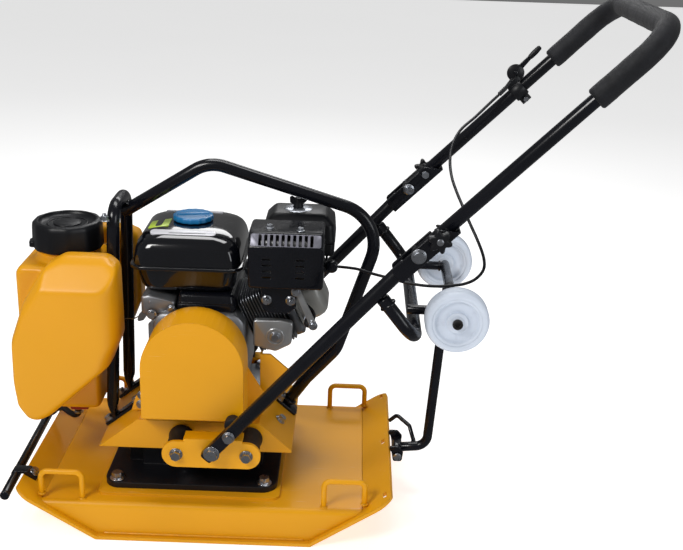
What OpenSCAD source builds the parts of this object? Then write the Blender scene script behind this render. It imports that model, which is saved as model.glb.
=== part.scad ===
/* [Base plate] */
// Length of the sole between the two lip tips, front tip half
front_tip_x = 304; // [290:1:320]
// Distance from the centre to the rear lip tip
rear_tip_x = 304; // [295:1:320]
// Width of the sole
sole_w = 400; // [390:1:420]
// Thickness of the sole
sole_t = 6; // [4:0.5:8]
// Height of the front lip tip
front_tip_z = 80; // [70:1:95]
// Height of the rear lip tip
rear_tip_z = 86; // [75:1:95]
// Height of the deck over the ground
deck_z = 62; // [58:1:64]

/* [Drive] */
// Distance of the crank and exciter axes in front of the centre
axis_back = 24; // [20:1:28]
// Height of the exciter shaft
exciter_z = 118; // [117:1:120]
// Height of the crankshaft
crank_z = 280; // [276:1:284]
// Outer radius of the exciter pulley
exciter_pulley_r = 34; // [32:1:35]
// Outer radius of the clutch pulley
clutch_pulley_r = 52; // [48:1:54]

/* [Handle] */
// Distance of each handle tube from the centre plane
handle_y = 185; // [180:1:190]
// Radius of the lower handle tubes
lower_tube_r = 11; // [10:0.5:11]
// Radius of the upper handle tube
upper_tube_r = 10.5; // [10:0.5:10.5]
// Radius of the foam grip
grip_r = 17.5; // [15:0.5:19]

/* [Roll frame] */
// Radius of the roll frame tubes
roll_tube_r = 10.5; // [9:0.5:11]
// Sideways position of the roll frame and the engine
frame_y = 25; // [20:1:28]

/* [Wheels] */
// Radius of the transport wheels
wheel_r = 50; // [45:1:52]
// Width of a transport wheel
wheel_w = 34; // [28:1:36]
// Distance of each wheel's middle from the centre plane
wheel_y = 141; // [138:1:145]

/* [Hidden] */
$fn = 48;

yellow = "#E9A70C";
black = "#15171A";
zinc = "#B9BDC2";
cast = "#8F9499";
rubber = "#26272B";
white = "#E8ECF0";

// Lip angles and the inner line of the bent sole
front_flat_x = -175;
rear_flat_x = 173;
front_a = atan2(front_tip_z, front_tip_x + front_flat_x);
rear_a = atan2(rear_tip_z, rear_tip_x - rear_flat_x);
front_in_x = front_flat_x + sole_t * tan(front_a / 2);
rear_in_x = rear_flat_x - sole_t * tan(rear_a / 2);
function front_x(z) = front_in_x - (z - sole_t) / tan(front_a);
function rear_x(z) = rear_in_x + (z - sole_t) / tan(rear_a);

// Drive axes
axis_x = -axis_back;
belt_y = -98;
pulley_half = 8.5;
shaft_r = 12.45;
crank_r = 10;

// Engine bed
bed_top = 174;
bed_low = 122;
bed_y = 112;
bed_t = 5;

// Handle: base bolt, hinge pin, upper corner
base_bolt = [14, 0, 160];
base_bolt_2 = [41, 0, 190];
hinge_pin = [322, 0, 503];
grip_corner = [657, 0, 838];
handle_bend = 58;
upper_a = atan2(grip_corner.z - hinge_pin.z, grip_corner.x - hinge_pin.x);
lower_a = atan2(hinge_pin.z - base_bolt.z, hinge_pin.x - base_bolt.x);
upper_dir = [cos(upper_a), 0, sin(upper_a)];
lower_dir = [cos(lower_a), 0, sin(lower_a)];
knob_out = 40;
knob_at = hinge_pin + upper_dir * knob_out;
clevis_in = 10.9;
clevis_out = 15;

// Recoil starter: where the rope leaves its housing and the way it is pulled
pull_at = [32, 150, 334];
pull_dir = [0, 0.8, 0.6];

// Wheel frame
axle = [390, 0, 382];
lip_pin = [316, 0, 79];
frame_rod_r = 8.5;

// Routes, chosen by hand
cable_pts = [
  [468, 168, 677], [453, 160, 664], [428, 142, 643], [402, 120, 624], [387, 92, 603],
  [382, 60, 583], [384, 30, 564], [390, 0, 549], [398, -30, 534], [408, -58, 515],
  [421, -78, 491], [431, -87, 467], [432, -90, 448], [421, -90, 432], [404, -90, 423],
  [385, -89, 419], [360, -87, 416], [334, -84, 416], [307, -77, 418], [279, -60, 419],
  [255, -41, 418], [236, -22, 417], [218, -10, 415], [202.3, -7, 415]
];
hose_pts = [
  [-252, 25, 118], [-253, 26, 109], [-260, 30, 104], [-272, 40, 103], [-284, 50, 105], [-295, 58, 104],
  [-303, 62, 98]
];

function unit(v) = v / norm(v);

// An outline with each corner rounded to its own radius
function corner_arc(a, p, b, r, n) =
  let (
    u = unit(a - p),
    v = unit(b - p),
    half = acos(u * v) / 2,
    c = p + unit(u + v) * r / sin(half),
    s = p + u * r / tan(half) - c,
    a0 = atan2(s.y, s.x),
    turn = (cross(-u, v) > 0 ? 1 : -1) * (180 - 2 * half)
  )
  [for (i = [0:n]) c + r * [cos(a0 + turn * i / n), sin(a0 + turn * i / n)]];

function rounded(pts, r, n = 5) =
  let (m = len(pts))
  [
    for (i = [0:m - 1])
      let (ri = is_list(r) ? r[i] : r)
      each ri < 0.01 ? [pts[i]] : corner_arc(pts[(i + m - 1) % m], pts[i], pts[(i + 1) % m], ri, n)
  ];

function box_pts(x0, x1, y0, y1) = [[x0, y0], [x1, y0], [x1, y1], [x0, y1]];

// The corners of an open line of points, each bent to a radius
function bent_path(pts, bends, n = 6) =
  let (m = len(pts))
  [
    pts[0],
    for (i = [1:1:m - 2])
      let (
        bend = is_list(bends) ? bends[i - 1] : bends,
        u = unit(pts[i - 1] - pts[i]),
        v = unit(pts[i + 1] - pts[i]),
        half = acos(u * v) / 2,
        c = pts[i] + unit(u + v) * bend / sin(half),
        s = pts[i] + u * bend / tan(half) - c,
        sweep = 180 - 2 * half
      )
      each [for (k = [0:n]) c + s * cos(sweep * k / n) - u * bend * sin(sweep * k / n)],
    pts[m - 1]
  ];

// One closed tube swept along a line of points
module swept(path, r, sides = 16) {
  n = len(path);
  dirs = [for (i = [0:n - 1]) unit(path[min(i + 1, n - 1)] - path[max(i - 1, 0)])];
  start = abs(dirs[0].z) < 0.9 ? cross(dirs[0], [0, 0, 1]) : cross(dirs[0], [0, 1, 0]);
  outs = [for (i = 0, s = unit(start); i < n; i = i + 1,
    s = i < n ? unit(s - (s * dirs[i]) * dirs[i]) : s) s];
  points = [for (i = [0:n - 1]) for (k = [0:sides - 1])
    path[i] + r * (cos(360 * k / sides) * outs[i] + sin(360 * k / sides) * cross(dirs[i], outs[i]))];
  faces = concat(
    [[for (k = [0:sides - 1]) k]],
    [[for (k = [0:sides - 1]) (n - 1) * sides + sides - 1 - k]],
    [for (i = [0:n - 2]) for (k = [0:sides - 1])
      each [
        [i * sides + k, (i + 1) * sides + k, (i + 1) * sides + (k + 1) % sides],
        [i * sides + k, (i + 1) * sides + (k + 1) % sides, i * sides + (k + 1) % sides]
      ]]
  );
  polyhedron(points = points, faces = faces, convexity = 6);
}

module rod(a, b, r) {
  d = b - a;
  translate(a) rotate([0, acos(d.z / norm(d)), atan2(d.y, d.x)]) cylinder(h = norm(d), r = r);
}

// A cylinder along Y between two values of y
module along_y(x, z, y0, y1, r) {
  translate([x, y0, z]) rotate([-90, 0, 0]) cylinder(h = y1 - y0, r = r);
}

// An outline in XZ extruded between two values of y
module plate_y(pts, y0, y1) {
  translate([0, y1, 0]) rotate([90, 0, 0]) linear_extrude(y1 - y0) polygon(pts);
}

// An outline in YZ extruded between two values of x
module plate_x(pts, x0, x1) {
  translate([x0, 0, 0]) rotate([90, 0, 90]) linear_extrude(x1 - x0) polygon(pts);
}

module slab(pts, z0, z1) {
  translate([0, 0, z0]) linear_extrude(z1 - z0) polygon(pts);
}

module both_sides() {
  children();
  mirror([0, 1, 0]) children();
}

// Hexagon head of a bolt with its washer, standing on a face along Z
module bolt_head(w = 13, h = 6) {
  cylinder(h = 1.6, r = w * 0.72);
  translate([0, 0, 1.6]) cylinder(h = h, r = w / sqrt(3), $fn = 6);
}

module head_y(x, z, y, side, w = 13, h = 6) {
  translate([x, y, z]) rotate([90 * -side, 0, 0]) bolt_head(w, h);
}

// ---------------------------------------------------------------- base plate

module sole_plate() {
  rr = 28;
  tip_t = [sole_t * sin(front_a), sole_t * cos(front_a)];
  rear_t = [-sole_t * sin(rear_a), sole_t * cos(rear_a)];
  profile = [
    [-front_tip_x, front_tip_z], [front_flat_x, 0], [rear_flat_x, 0], [rear_tip_x, rear_tip_z],
    [rear_tip_x, rear_tip_z] + rear_t, [rear_in_x, sole_t], [front_in_x, sole_t],
    [-front_tip_x, front_tip_z] + tip_t
  ];
  plan = rounded(box_pts(-front_tip_x - 2, rear_tip_x + 2, -sole_w / 2, sole_w / 2), rr, 7);
  color(yellow) difference() {
    intersection() {
      plate_y(profile, -sole_w, sole_w);
      slab(plan, -5, 120);
    }
    for (y = [-178, 0, 178]) translate([289, y, 50]) cube([5, 14, 50], center = false);
  }
}

module deck_plate() {
  side_y = 190;
  t = 5;
  outer = rounded(box_pts(-side_y, side_y, -10, deck_z), [0, 0, 9, 9], 5);
  inner = rounded(box_pts(-side_y + t, side_y - t, -20, deck_z - t), [0, 0, 4, 4], 3);
  trapezoid = [
    [front_in_x, sole_t], [rear_in_x, sole_t], [rear_x(deck_z + 9), deck_z + 9],
    [front_x(deck_z + 9), deck_z + 9]
  ];
  color(yellow) {
    intersection() {
      difference() {
        plate_x(outer, -front_tip_x, rear_tip_x);
        plate_x(inner, -front_tip_x - 1, rear_tip_x + 1);
      }
      plate_y(trapezoid, -sole_w, sole_w);
    }
    slab(rounded(box_pts(-178, 120, -163, 163), 12), deck_z, deck_z + 4);
  }
}

module lifting_staples() {
  staple_y = 176;
  top_z = deck_z + 47;
  r = 4.5;
  color(yellow) both_sides() {
    swept(bent_path([[-264, staple_y, deck_z + 3.1], [-264, staple_y, top_z], [-198, staple_y, top_z],
      [-198, staple_y, deck_z]], 11, 4), r, 10);
    swept(bent_path([[193, staple_y, deck_z], [193, staple_y, top_z], [259, staple_y, top_z],
      [259, staple_y, deck_z + 4.7]], 11, 4), r, 10);
  }
}

// ---------------------------------------------------------------- exciter

flange_z = deck_z + 4;
mount_x = [-94, 58];
cover_r = 41.5;
bore_r = 31;

module exciter_housing() {
  color(black) difference() {
    union() {
      slab(rounded(box_pts(-170, 114, -148, 148), 25, 6), flange_z, flange_z + 10);
      translate([-140, -72, flange_z + 9]) cube([224, 164, 37]);
      along_y(axis_x, exciter_z, -72, 92, 44);
      for (x = mount_x, y = [-62, 62])
        translate([x - 22, y - 22, flange_z + 9]) cube([44, 44, 55]);
    }
    along_y(axis_x, exciter_z, -73, 93, bore_r);
  }
}

module exciter_covers() {
  color(black) {
    difference() {
      along_y(axis_x, exciter_z, -82, -72, cover_r);
      along_y(axis_x, exciter_z, -83, -71, 15);
    }
    along_y(axis_x, exciter_z, 92, 102, cover_r);
  }
}

module exciter_bearings() {
  color(zinc) for (y = [-72, 75]) difference() {
    along_y(axis_x, exciter_z, y, y + 17, bore_r);
    along_y(axis_x, exciter_z, y - 1, y + 18, shaft_r + 0.05);
  }
}

module eccentric_shaft() {
  color(zinc) {
    along_y(axis_x, exciter_z, -106.5, 90, shaft_r);
    intersection() {
      along_y(axis_x, exciter_z, -50, 70, 28);
      translate([axis_x - 40, -60, exciter_z - 40]) cube([80, 140, 34]);
    }
  }
}

// Grooved pulley turned about Y: bore, rim radius, groove radius, half width, bell on the near side
module pulley(x, z, y, bore, rim, groove, half) {
  translate([x, y, z]) rotate([90, 0, 0]) rotate_extrude() polygon([
    [bore, -half], [rim, -half], [rim, -7], [groove, -5.4], [groove, 5.4], [rim, 7],
    [rim, half], [bore, half]
  ]);
}

module exciter_pulley() {
  color(cast)
    pulley(axis_x, exciter_z, belt_y, shaft_r + 0.05, exciter_pulley_r, exciter_pulley_r - 8.2,
      pulley_half);
}

module clutch_drum() {
  bell_r = 59;
  color(cast) {
    pulley(axis_x, crank_z, belt_y, crank_r + 0.05, clutch_pulley_r, clutch_pulley_r - 8.2,
      pulley_half + 2);
    difference() {
      along_y(axis_x, crank_z, -140, -108, bell_r);
      along_y(axis_x, crank_z, -136, -112, bell_r - 4);
      along_y(axis_x, crank_z, -141, -107, crank_r + 0.05);
    }
  }
}

// Points round two pulleys of different size, one over the other
function belt_line(r_low, r_top) =
  let (d = crank_z - exciter_z, a = asin((r_top - r_low) / d), n = 18)
  concat(
    [for (i = [0:n]) let (t = 180 + a + (180 - 2 * a) * i / n)
      [axis_x, exciter_z] + r_low * [cos(t), sin(t)]],
    [for (i = [0:n]) let (t = -a + (180 + 2 * a) * i / n)
      [axis_x, crank_z] + r_top * [cos(t), sin(t)]]
  );

module v_belt() {
  half = 4.9;
  depth = 7.6;
  color(rubber) difference() {
    plate_y(belt_line(exciter_pulley_r, clutch_pulley_r), belt_y - half, belt_y + half);
    plate_y(belt_line(exciter_pulley_r - depth, clutch_pulley_r - depth), belt_y - 9, belt_y + 9);
  }
}

// ---------------------------------------------------------------- engine bed

bed_out = [[-184, bed_low], [136, bed_low], [136, bed_low + 4], [82, bed_top], [-118, bed_top]];
bed_slope = atan2(bed_top - bed_low - 4, 54);
front_slope = atan2(bed_top - bed_low, 66);
function slope_z(x) = bed_top - (x - 82) * tan(bed_slope);

module engine_bed() {
  bed_in = [[-176, bed_low - 5], [131, bed_low - 5], [131, bed_low + 1], [80, bed_top - 6],
    [-116, bed_top - 6], [-176, bed_low + 2]];
  color(yellow) difference() {
    plate_y(bed_out, -bed_y, bed_y);
    plate_y(bed_in, -bed_y + bed_t, bed_y - bed_t);
    translate([axis_x - 56, -106, bed_top - 20]) cube([112, 17, 30]);
  }
}

module rubber_mounts() {
  color(rubber) for (x = mount_x, y = [-62, 62])
    translate([x, y, flange_z + 64]) cylinder(h = bed_top - 6 - flange_z - 64, r = 20);
}

module bed_fasteners() {
  color(zinc) {
    for (x = [-108, 67], y = [-60, 88]) translate([x, y, 186]) bolt_head(13, 6);
    for (x = [-150, 93], y = [-133, 133]) translate([x, y, flange_z + 10]) bolt_head(16, 8);
    for (a = [45:90:315]) {
      head_y(axis_x + 36 * cos(a), exciter_z + 36 * sin(a), -82, -1, 9, 3.4);
      head_y(axis_x + 36 * cos(a), exciter_z + 36 * sin(a), 102, 1, 9, 3);
    }
  }
}

// ---------------------------------------------------------------- handle base

buffer_x = [-45, 67];
buffer_z = 147;

module handle_brackets() {
  r = 23;
  y0 = 168;
  y1 = 173.6;
  outline = rounded([
    [buffer_x[0] - r, buffer_z - r], [buffer_x[1] + r, buffer_z - r], [buffer_x[1] + r, buffer_z + r],
    [buffer_x[1] - 4, buffer_z + r], [buffer_x[0] + 12, buffer_z + r], [buffer_x[0] - r, buffer_z + r]
  ], [22.5, 22.5, 22.5, 0, 0, 22.5], 8);
  color(yellow) both_sides() {
    plate_y(outline, y0, y1);
    translate([buffer_x[0] + 12, y0 - 22, buffer_z + r]) cube([94, 27.6, 5]);
  }
}

module handle_buffers() {
  color(rubber) both_sides() {
    for (x = buffer_x) along_y(x, buffer_z, bed_y, 168, 21.5);
    along_y(44, 196, 148.3, 167.5, 13);
    translate([38, 148.3, 175]) cube([12, 19.2, 12]);
  }
}

module handle_bolts() {
  color(zinc) both_sides() {
    for (x = buffer_x) head_y(x, buffer_z, 173.6, 1, 14, 7);
    head_y(base_bolt.x, base_bolt.z, handle_y + 7.5, 1, 17, 6);
    head_y(base_bolt_2.x, base_bolt_2.z, handle_y + 7.5, 1, 13, 7);
    along_y(hinge_pin.x, hinge_pin.z, handle_y - 15.05, handle_y + 15.05, 4.95);
    head_y(hinge_pin.x, hinge_pin.z, handle_y + 15.05, 1, 15, 6);
    head_y(hinge_pin.x, hinge_pin.z, handle_y - 15.05, -1, 13, 6);
  }
}

// One lower tube: flattened foot, tube, and the channel that holds the hinge
module lower_tube() {
  foot_end = base_bolt + lower_dir * 62;
  top_end = hinge_pin - lower_dir * 26;
  hinge_at = [hinge_pin.x, handle_y, hinge_pin.z];
  color(black) difference() {
    union() {
      translate([base_bolt.x, handle_y, base_bolt.z]) rotate([0, 90 - lower_a, 0])
        translate([-10.5, -11.4, -16]) cube([21, 18.9, 80]);
      rod([foot_end.x, handle_y, foot_end.z] - lower_dir * 2, [top_end.x, handle_y, top_end.z], lower_tube_r);
      translate(hinge_at) rotate([0, -upper_a, 0]) difference() {
        translate([-46, -clevis_out, -15]) cube([116, 2 * clevis_out, 26]);
        translate([-50, -clevis_in, -11.4]) cube([140, 2 * clevis_in, 40]);
        translate([70, -30, -16]) rotate([0, -40, 0]) cube([80, 60, 50]);
        translate([knob_out - 6.4, -30, -4.4]) cube([10.8, 60, 30]);
      }
    }
    along_y(hinge_pin.x, hinge_pin.z, handle_y - 20, handle_y + 20, 5);
  }
}

module handle_tube_near() {
  mirror([0, 1, 0]) lower_tube();
}

module handle_tube_far() {
  lower_tube();
}

module handle_u_frame() {
  u_low = [326, 0, 362];
  u_top = [272, 0, 430];
  inner = handle_y - lower_tube_r - 0.2;
  color(black) swept(bent_path([
    [u_top.x, -handle_y, u_top.z], [u_low.x, -handle_y, u_low.z],
    [u_low.x, handle_y, u_low.z], [u_top.x, handle_y, u_top.z]
  ], 34, 6), 10.5, 16);
}

// ---------------------------------------------------------------- upper handle

module upper_line(r, from_out, sides) {
  a = hinge_pin + upper_dir * from_out;
  swept(bent_path([
    [a.x, -handle_y, a.z], [grip_corner.x, -handle_y, grip_corner.z],
    [grip_corner.x, handle_y, grip_corner.z], [a.x, handle_y, a.z]
  ], handle_bend, 7), r, sides);
}

module handle_upper() {
  color(black) difference() {
    union() {
      upper_line(upper_tube_r, 0, 16);
      both_sides() along_y(hinge_pin.x, hinge_pin.z, handle_y - 10.4, handle_y + 10.4, 10.5);
    }
    both_sides() {
      along_y(hinge_pin.x, hinge_pin.z, handle_y - 20, handle_y + 20, 5.02);
      along_y(knob_at.x, knob_at.z, handle_y - 20, handle_y + 20, 4.05);
    }
  }
}

module foam_grip() {
  color(rubber) difference() {
    upper_line(grip_r, 332, 16);
    upper_line(upper_tube_r + 0.1, 300, 16);
  }
}

module star_knob() {
  y0 = handle_y + clevis_out + 0.4;
  color(black) along_y(knob_at.x, knob_at.z, y0, y0 + 5, 10);
  color(black) translate([knob_at.x, y0 + 5, knob_at.z]) rotate([-90, 0, 0]) {
    cylinder(h = 13, r = 13);
    for (a = [0:60:300]) rotate([0, 0, a]) translate([14, 0, 0]) cylinder(h = 13, r = 4.8);
  }
  color(zinc) {
    along_y(knob_at.x, knob_at.z, handle_y - clevis_out - 0.5, y0, 4);
    head_y(knob_at.x, knob_at.z, handle_y - clevis_out - 0.5, -1, 12, 5);
  }
}

module star_knob_near() {
  mirror([0, 1, 0]) star_knob();
}

module star_knob_far() {
  star_knob();
}

// ---------------------------------------------------------------- throttle

clamp_at = [503, 185, 684];
lever_pin = [496, 185, 714];

module throttle_clamp() {
  out = unit([-upper_dir.z, 0, upper_dir.x]);
  color(black) {
    difference() {
      rod(clamp_at - upper_dir * 12, clamp_at + upper_dir * 12, 16);
      rod(clamp_at - upper_dir * 13, clamp_at + upper_dir * 13, upper_tube_r + 0.1);
    }
    difference() {
      along_y(lever_pin.x, lever_pin.z, 179, 183.6, 15);
      along_y(lever_pin.x, lever_pin.z, 178, 184, 4.06);
    }
    difference() {
      rod(clamp_at + out * 14, clamp_at + out * 27, 6);
      along_y(lever_pin.x, lever_pin.z, 170, 195, 10.4);
    }
    rod([480, 174, 688.5], [469, 168.6, 678], 4.2);
    rod([480, 174, 688.5], [491, 181, 703], 3.4);
  }
}

module throttle_lever() {
  out = unit([-upper_dir.z, 0, upper_dir.x]);
  tip = lever_pin + upper_dir * 58 + out * 4;
  color(black) {
    along_y(lever_pin.x, lever_pin.z, 184, 189, 10);
    along_y(lever_pin.x, lever_pin.z, 176, 184.5, 4);
    rod(lever_pin + [0, 1.5, 0] + upper_dir * 6, tip + [0, 1.5, 0], 2.2);
    rod(tip + [0, 1.5, 0] - upper_dir * 22, tip + [0, 1.5, 0] + upper_dir * 2, 4.6);
  }
  color(zinc) along_y(lever_pin.x, lever_pin.z, 189, 195, 6);
}

module throttle_cable() {
  color(black) swept(cable_pts, 2.5, 8);
}

// ---------------------------------------------------------------- roll frame

module roll_hoop() {
  y = frame_y;
  color(black) {
    difference() {
      swept(bent_path([
        [120, y, 148], [152, y, 194], [203, y, 252], [279, y, 490], [-14, y, 578], [-158, y, 487]
      ], [40, 50, 70, 60], 6), roll_tube_r, 16);
      hoop_leg_form(roll_tube_r);
    }
    translate([118, y, slope_z(118)]) rotate([0, bed_slope, 0]) translate([-24, -17, 0]) cube([46, 34, 5]);
  }
}

module hoop_leg_form(r) {
  swept(bent_path([
    [-179, frame_y - 52, 158], [-163, frame_y - 50, 508], [-163, frame_y + 50, 508],
    [-172, frame_y + 52, 158]
  ], 30, 6), r, 16);
}

// Places a child on the bed's front slope, up by a distance from its lower edge
module on_front_slope(up, y) {
  translate([-184, y, bed_low]) rotate([0, -front_slope, 0]) translate([up, 0, 0]) children();
}

// Each leg ends flattened on a strap that is bolted to the bed's front slope
module hoop_legs() {
  color(black) {
    hoop_leg_form(roll_tube_r);
    for (foot = [[-179, frame_y - 52], [-172, frame_y + 52]]) {
      difference() {
        translate([foot.x + 2, foot.y - 12, 130]) cube([8, 24, 36]);
        on_front_slope(-60, foot.y - 40) translate([0, 0, -60]) cube([200, 80, 64]);
      }
      on_front_slope(-4, foot.y - 13) cube([82, 26, 5]);
    }
  }
}

module frame_bolts() {
  color(zinc) {
    for (y = [frame_y - 52, frame_y + 52]) {
      on_front_slope(4.5, y) translate([0, 0, 5]) bolt_head(11, 6);
      on_front_slope(66, y) translate([0, 0, 5]) bolt_head(11, 6);
    }
    for (s = [-1, 1]) translate([106, frame_y + s * 11, slope_z(106)]) rotate([0, bed_slope, 0])
      translate([0, 0, 5]) bolt_head(9, 5);
    translate([112, -45, slope_z(112)]) rotate([0, bed_slope, 0]) bolt_head(11, 5);
    translate([-174, frame_y - 66, 491]) bolt_head(11, 8);
  }
}

// ---------------------------------------------------------------- belt guard

function guard_line(r, z_low) = concat(
  [for (i = [0:24]) [axis_x + 2, crank_z + 1] + r * [cos(i * 7.5), sin(i * 7.5)]],
  [[axis_x + 2 - r, z_low], [axis_x + 2 + r, z_low]]
);

module belt_guard() {
  face_y = -148;
  back_y = -80;
  side = [[face_y, 195], [face_y, 380], [back_y, 380], [back_y, bed_top], [-bed_y, bed_top]];
  side_in = [[face_y + 3, 197], [face_y + 3, 390], [back_y + 5, 390], [back_y + 5, 170], [-bed_y + 4, 170]];
  back = concat(
    [for (i = [0:24]) [axis_x + 2, crank_z + 1] + 82 * [cos(i * 7.5), sin(i * 7.5)]],
    [[-104, 215], [-126, 200], [-134, bed_top], [86, bed_top], [90, 210], [66, 250], [60, 260]]
  );
  color(yellow) {
    difference() {
      intersection() {
        plate_y(guard_line(82, bed_top), -200, 0);
        plate_x(side, -200, 200);
      }
      intersection() {
        plate_y(guard_line(79, 160), -200, 0);
        plate_x(side_in, -200, 200);
      }
    }
    difference() {
      plate_y(back, back_y, back_y + 3);
      along_y(axis_x, crank_z, back_y - 1, back_y + 4, 62);
      translate([axis_x - 56, back_y - 1, bed_top - 2]) cube([112, 5, 60]);
    }
  }
}

// ---------------------------------------------------------------- engine

cyl_a = 25;

module crankcase() {
  case_x = 56;
  color(cast) difference() {
    union() {
      plate_y(rounded(box_pts(-98, case_x, 186, 350), 24), -76, 106);
      slab(rounded(box_pts(-117, 78, -70, 98), 8), bed_top, 186);
      along_y(axis_x, crank_z, -76.5, -70, 78);
      plate_y([[-116, 348], [-60, 348], [-60, 364], [-104, 374], [-116, 374]], -62, 92);
    }
    along_y(axis_x, crank_z, -62, 94, 66);
    along_y(axis_x, crank_z, -80, 110, crank_r + 0.06);
  }
}

module in_cylinder() {
  translate([axis_x, 15, crank_z]) rotate([0, -cyl_a, 0]) children();
}

module cylinder_block() {
  fin_n = 8;
  in_cylinder() {
    rotate([0, 90, 0]) cylinder(h = 158, r = 40);
    for (i = [0:fin_n - 1]) translate([92 + 8 * i, -58, -56]) cube([3, 116, 106]);
    translate([152, -54, -52]) cube([20, 108, 98]);
  }
}

module cylinder_node() {
  color(cast) difference() {
    cylinder_block();
    translate([-200, -200, 100]) cube([256.2, 400, 400]);
  }
}

module rocker_cover() {
  color("#9A9C98") in_cylinder() difference() {
    translate([172, -46, -42]) cube([52, 92, 66]);
    translate([224, -60, 24]) rotate([0, -45, 0]) translate([-10, 0, -10]) cube([30, 120, 30]);
    translate([224, -60, -42]) rotate([0, 45, 0]) translate([-10, 0, -20]) cube([30, 120, 30]);
  }
}

module muffler_stay() {
  color(zinc) {
    plate_y(rounded([[67, 288], [106, 280], [130, 294], [132, 332], [67, 334]], [4, 8, 8, 3, 3], 4), -53, -50);
    head_y(104, 306, -53, -1, 12, 6);
    plate_y([[131, 398.5], [141, 398.5], [171, 336], [161, 336]], -70, -66);
  }
}

module engine_bracket() {
  color(yellow) {
    plate_y([[82, bed_top], [112, 202], [132, 244], [96, 276], [82, 276]], -62, -57);
    plate_x(box_pts(-62, -45, bed_top, 276), 79, 82);
  }
}

module recoil_cover() {
  color(black) difference() {
    union() {
      along_y(axis_x, crank_z, 106, 156, 92);
      along_y(axis_x, crank_z, 155, 168, 66);
      along_y(axis_x, crank_z, 167, 173, 48);
    }
    along_y(axis_x, crank_z, 105, 150, 84);
    along_y(axis_x, crank_z, 149, 162, 58);
  }
  color(black) {
    rod(pull_at - pull_dir * 1.5, pull_at + pull_dir * 14, 8);
    translate([-128, 112, 252]) cube([24, 34, 42]);
    translate([-58, -64, 350]) cube([96, 174, 28]);
  }
}

module recoil_handle() {
  color(black) {
    rod(pull_at + pull_dir * 14.4, pull_at + pull_dir * 28, 5);
    rod(pull_at + pull_dir * 31 - [24, 0, 0], pull_at + pull_dir * 31 + [24, 0, 0], 8);
  }
}

module flywheel() {
  color(cast) difference() {
    along_y(axis_x, crank_z, 114, 138, 76);
    along_y(axis_x, crank_z, 113, 139, crank_r + 0.05);
  }
}

module crankshaft() {
  throw = 22;
  color(zinc) {
    along_y(axis_x, crank_z, -140, -12, crank_r);
    along_y(axis_x, crank_z, 38, 142, crank_r);
    for (y = [-20, 32]) along_y(axis_x, crank_z, y, y + 16, 38);
    along_y(axis_x, crank_z - throw, -5, 33, 12);
    along_y(axis_x, crank_z, -144, -140, 14);
  }
}

// The tank's form, drawn in by an amount on every side
module fuel_form(g) {
  front = rounded([
    [-114 + g, 378 + g], [34 - g, 378 + g], [46 - g, 420], [38 - g, 478 - g], [-122 + g, 478 - g], [-130 + g, 420]
  ], [14, 14, 3, 24, 24, 3], 6);
  end = rounded([
    [-60 + g, 378 + g], [108 - g, 378 + g], [117 - g, 420], [109 - g, 478 - g], [-59 + g, 478 - g], [-67 + g, 420]
  ], [14, 14, 3, 24, 24, 3], 6);
  plan = rounded(box_pts(-130 + g, 46 - g, -67 + g, 117 - g), 24, 6);
  intersection() {
    plate_y(front, -100, 150);
    plate_x(end, -150, 100);
    slab(plan, 370, 490);
  }
}

module fuel_tank() {
  fill = [-41, 25];
  color(black) difference() {
    union() {
      fuel_form(0);
      slab(rounded(box_pts(-134, 50, -71, 121), 26, 6), 420, 425);
      translate([fill.x, fill.y, 475]) cylinder(h = 4, r = 24);
    }
    fuel_form(3);
    translate([fill.x, fill.y, 464]) cylinder(h = 30, r = 19);
  }
}

module fuel_cap() {
  color("#2F86C6") translate([-41, 25, 479.4]) {
    cylinder(h = 6, r = 33);
    translate([-27, -5, 6]) cube([54, 10, 5]);
  }
}

module air_cleaner() {
  color(black) {
    intersection() {
      plate_y(rounded([[78, 428], [194, 428], [196, 480], [184, 496], [92, 496], [76, 480]], 3, 2), -50, 150);
      plate_x(rounded([[4, 428], [102, 428], [102, 484], [92, 496], [16, 496], [4, 484]], 3, 2), 0, 300);
    }
    translate([132, 52, 495]) cylinder(h = 3, r = 24);
  }
}

module wing_nut() {
  color(black) translate([132, 52, 498.4]) {
    cylinder(h = 15, r = 7);
    translate([-15, -2.5, 6]) cube([30, 5, 15]);
  }
}

module muffler() {
  color(cast) translate([72, -74, 407]) cube([92, 66, 72]);
  color(black) plate_y(rounded(box_pts(80, 137, 352, 398), 6), -64, -57);
  color(zinc) for (x = [89, 128]) head_y(x, 374, -64, -1, 11, 7);
}

module muffler_guard() {
  front = rounded([[60, 400], [180, 400], [180, 476], [170, 492], [64, 492], [60, 486]], [8, 8, 3, 4, 3, 3], 4);
  inner = rounded([[63, 390], [177, 390], [177, 475], [168, 489], [66, 489], [63, 485]], 2, 2);
  color(black) difference() {
    plate_y(front, -86, -2);
    plate_y(inner, -83, 2);
    for (i = [0:8]) translate([72 + i * 9.6, -90, 462]) cube([5, 10, 15]);
  }
}

module carburettor() {
  color(cast) {
    translate([112, 40, 398]) cube([46, 44, 30]);
    along_y(134, 410, 12, 40, 14);
  }
  color(black) {
    translate([156, 12, 404]) cube([27, 44, 3]);
    translate([181, -8, 404]) cube([3, 64, 20]);
    rod([184, 0, 415], [192, 0, 415], 7);
    along_y(192, 415, -14, 0, 10);
  }
}

module choke_lever() {
  color(black) {
    rod([158.2, 76, 408], [166, 76, 408], 5);
    translate([162, 73, 408]) cube([4, 6, 10]);
    translate([162, 70, 380]) cube([4, 12, 26]);
  }
}

module spark_plug() {
  color(black) in_cylinder() {
    translate([186, -62, -30]) rotate([90, 0, 0]) cylinder(h = 16, r = 7);
    translate([186, -72, -30]) cylinder(h = 22, r = 6);
  }
  color(white) in_cylinder() translate([186, -46, -30]) rotate([90, 0, 0]) cylinder(h = 17, r = 5);
}

module engine_switch() {
  color("#7A1F1A") {
    rod([-128.4, 129, 273], [-136, 129, 273], 11);
    translate([-141, 126, 263]) cube([6, 6, 20]);
  }
}

// ---------------------------------------------------------------- water

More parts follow.
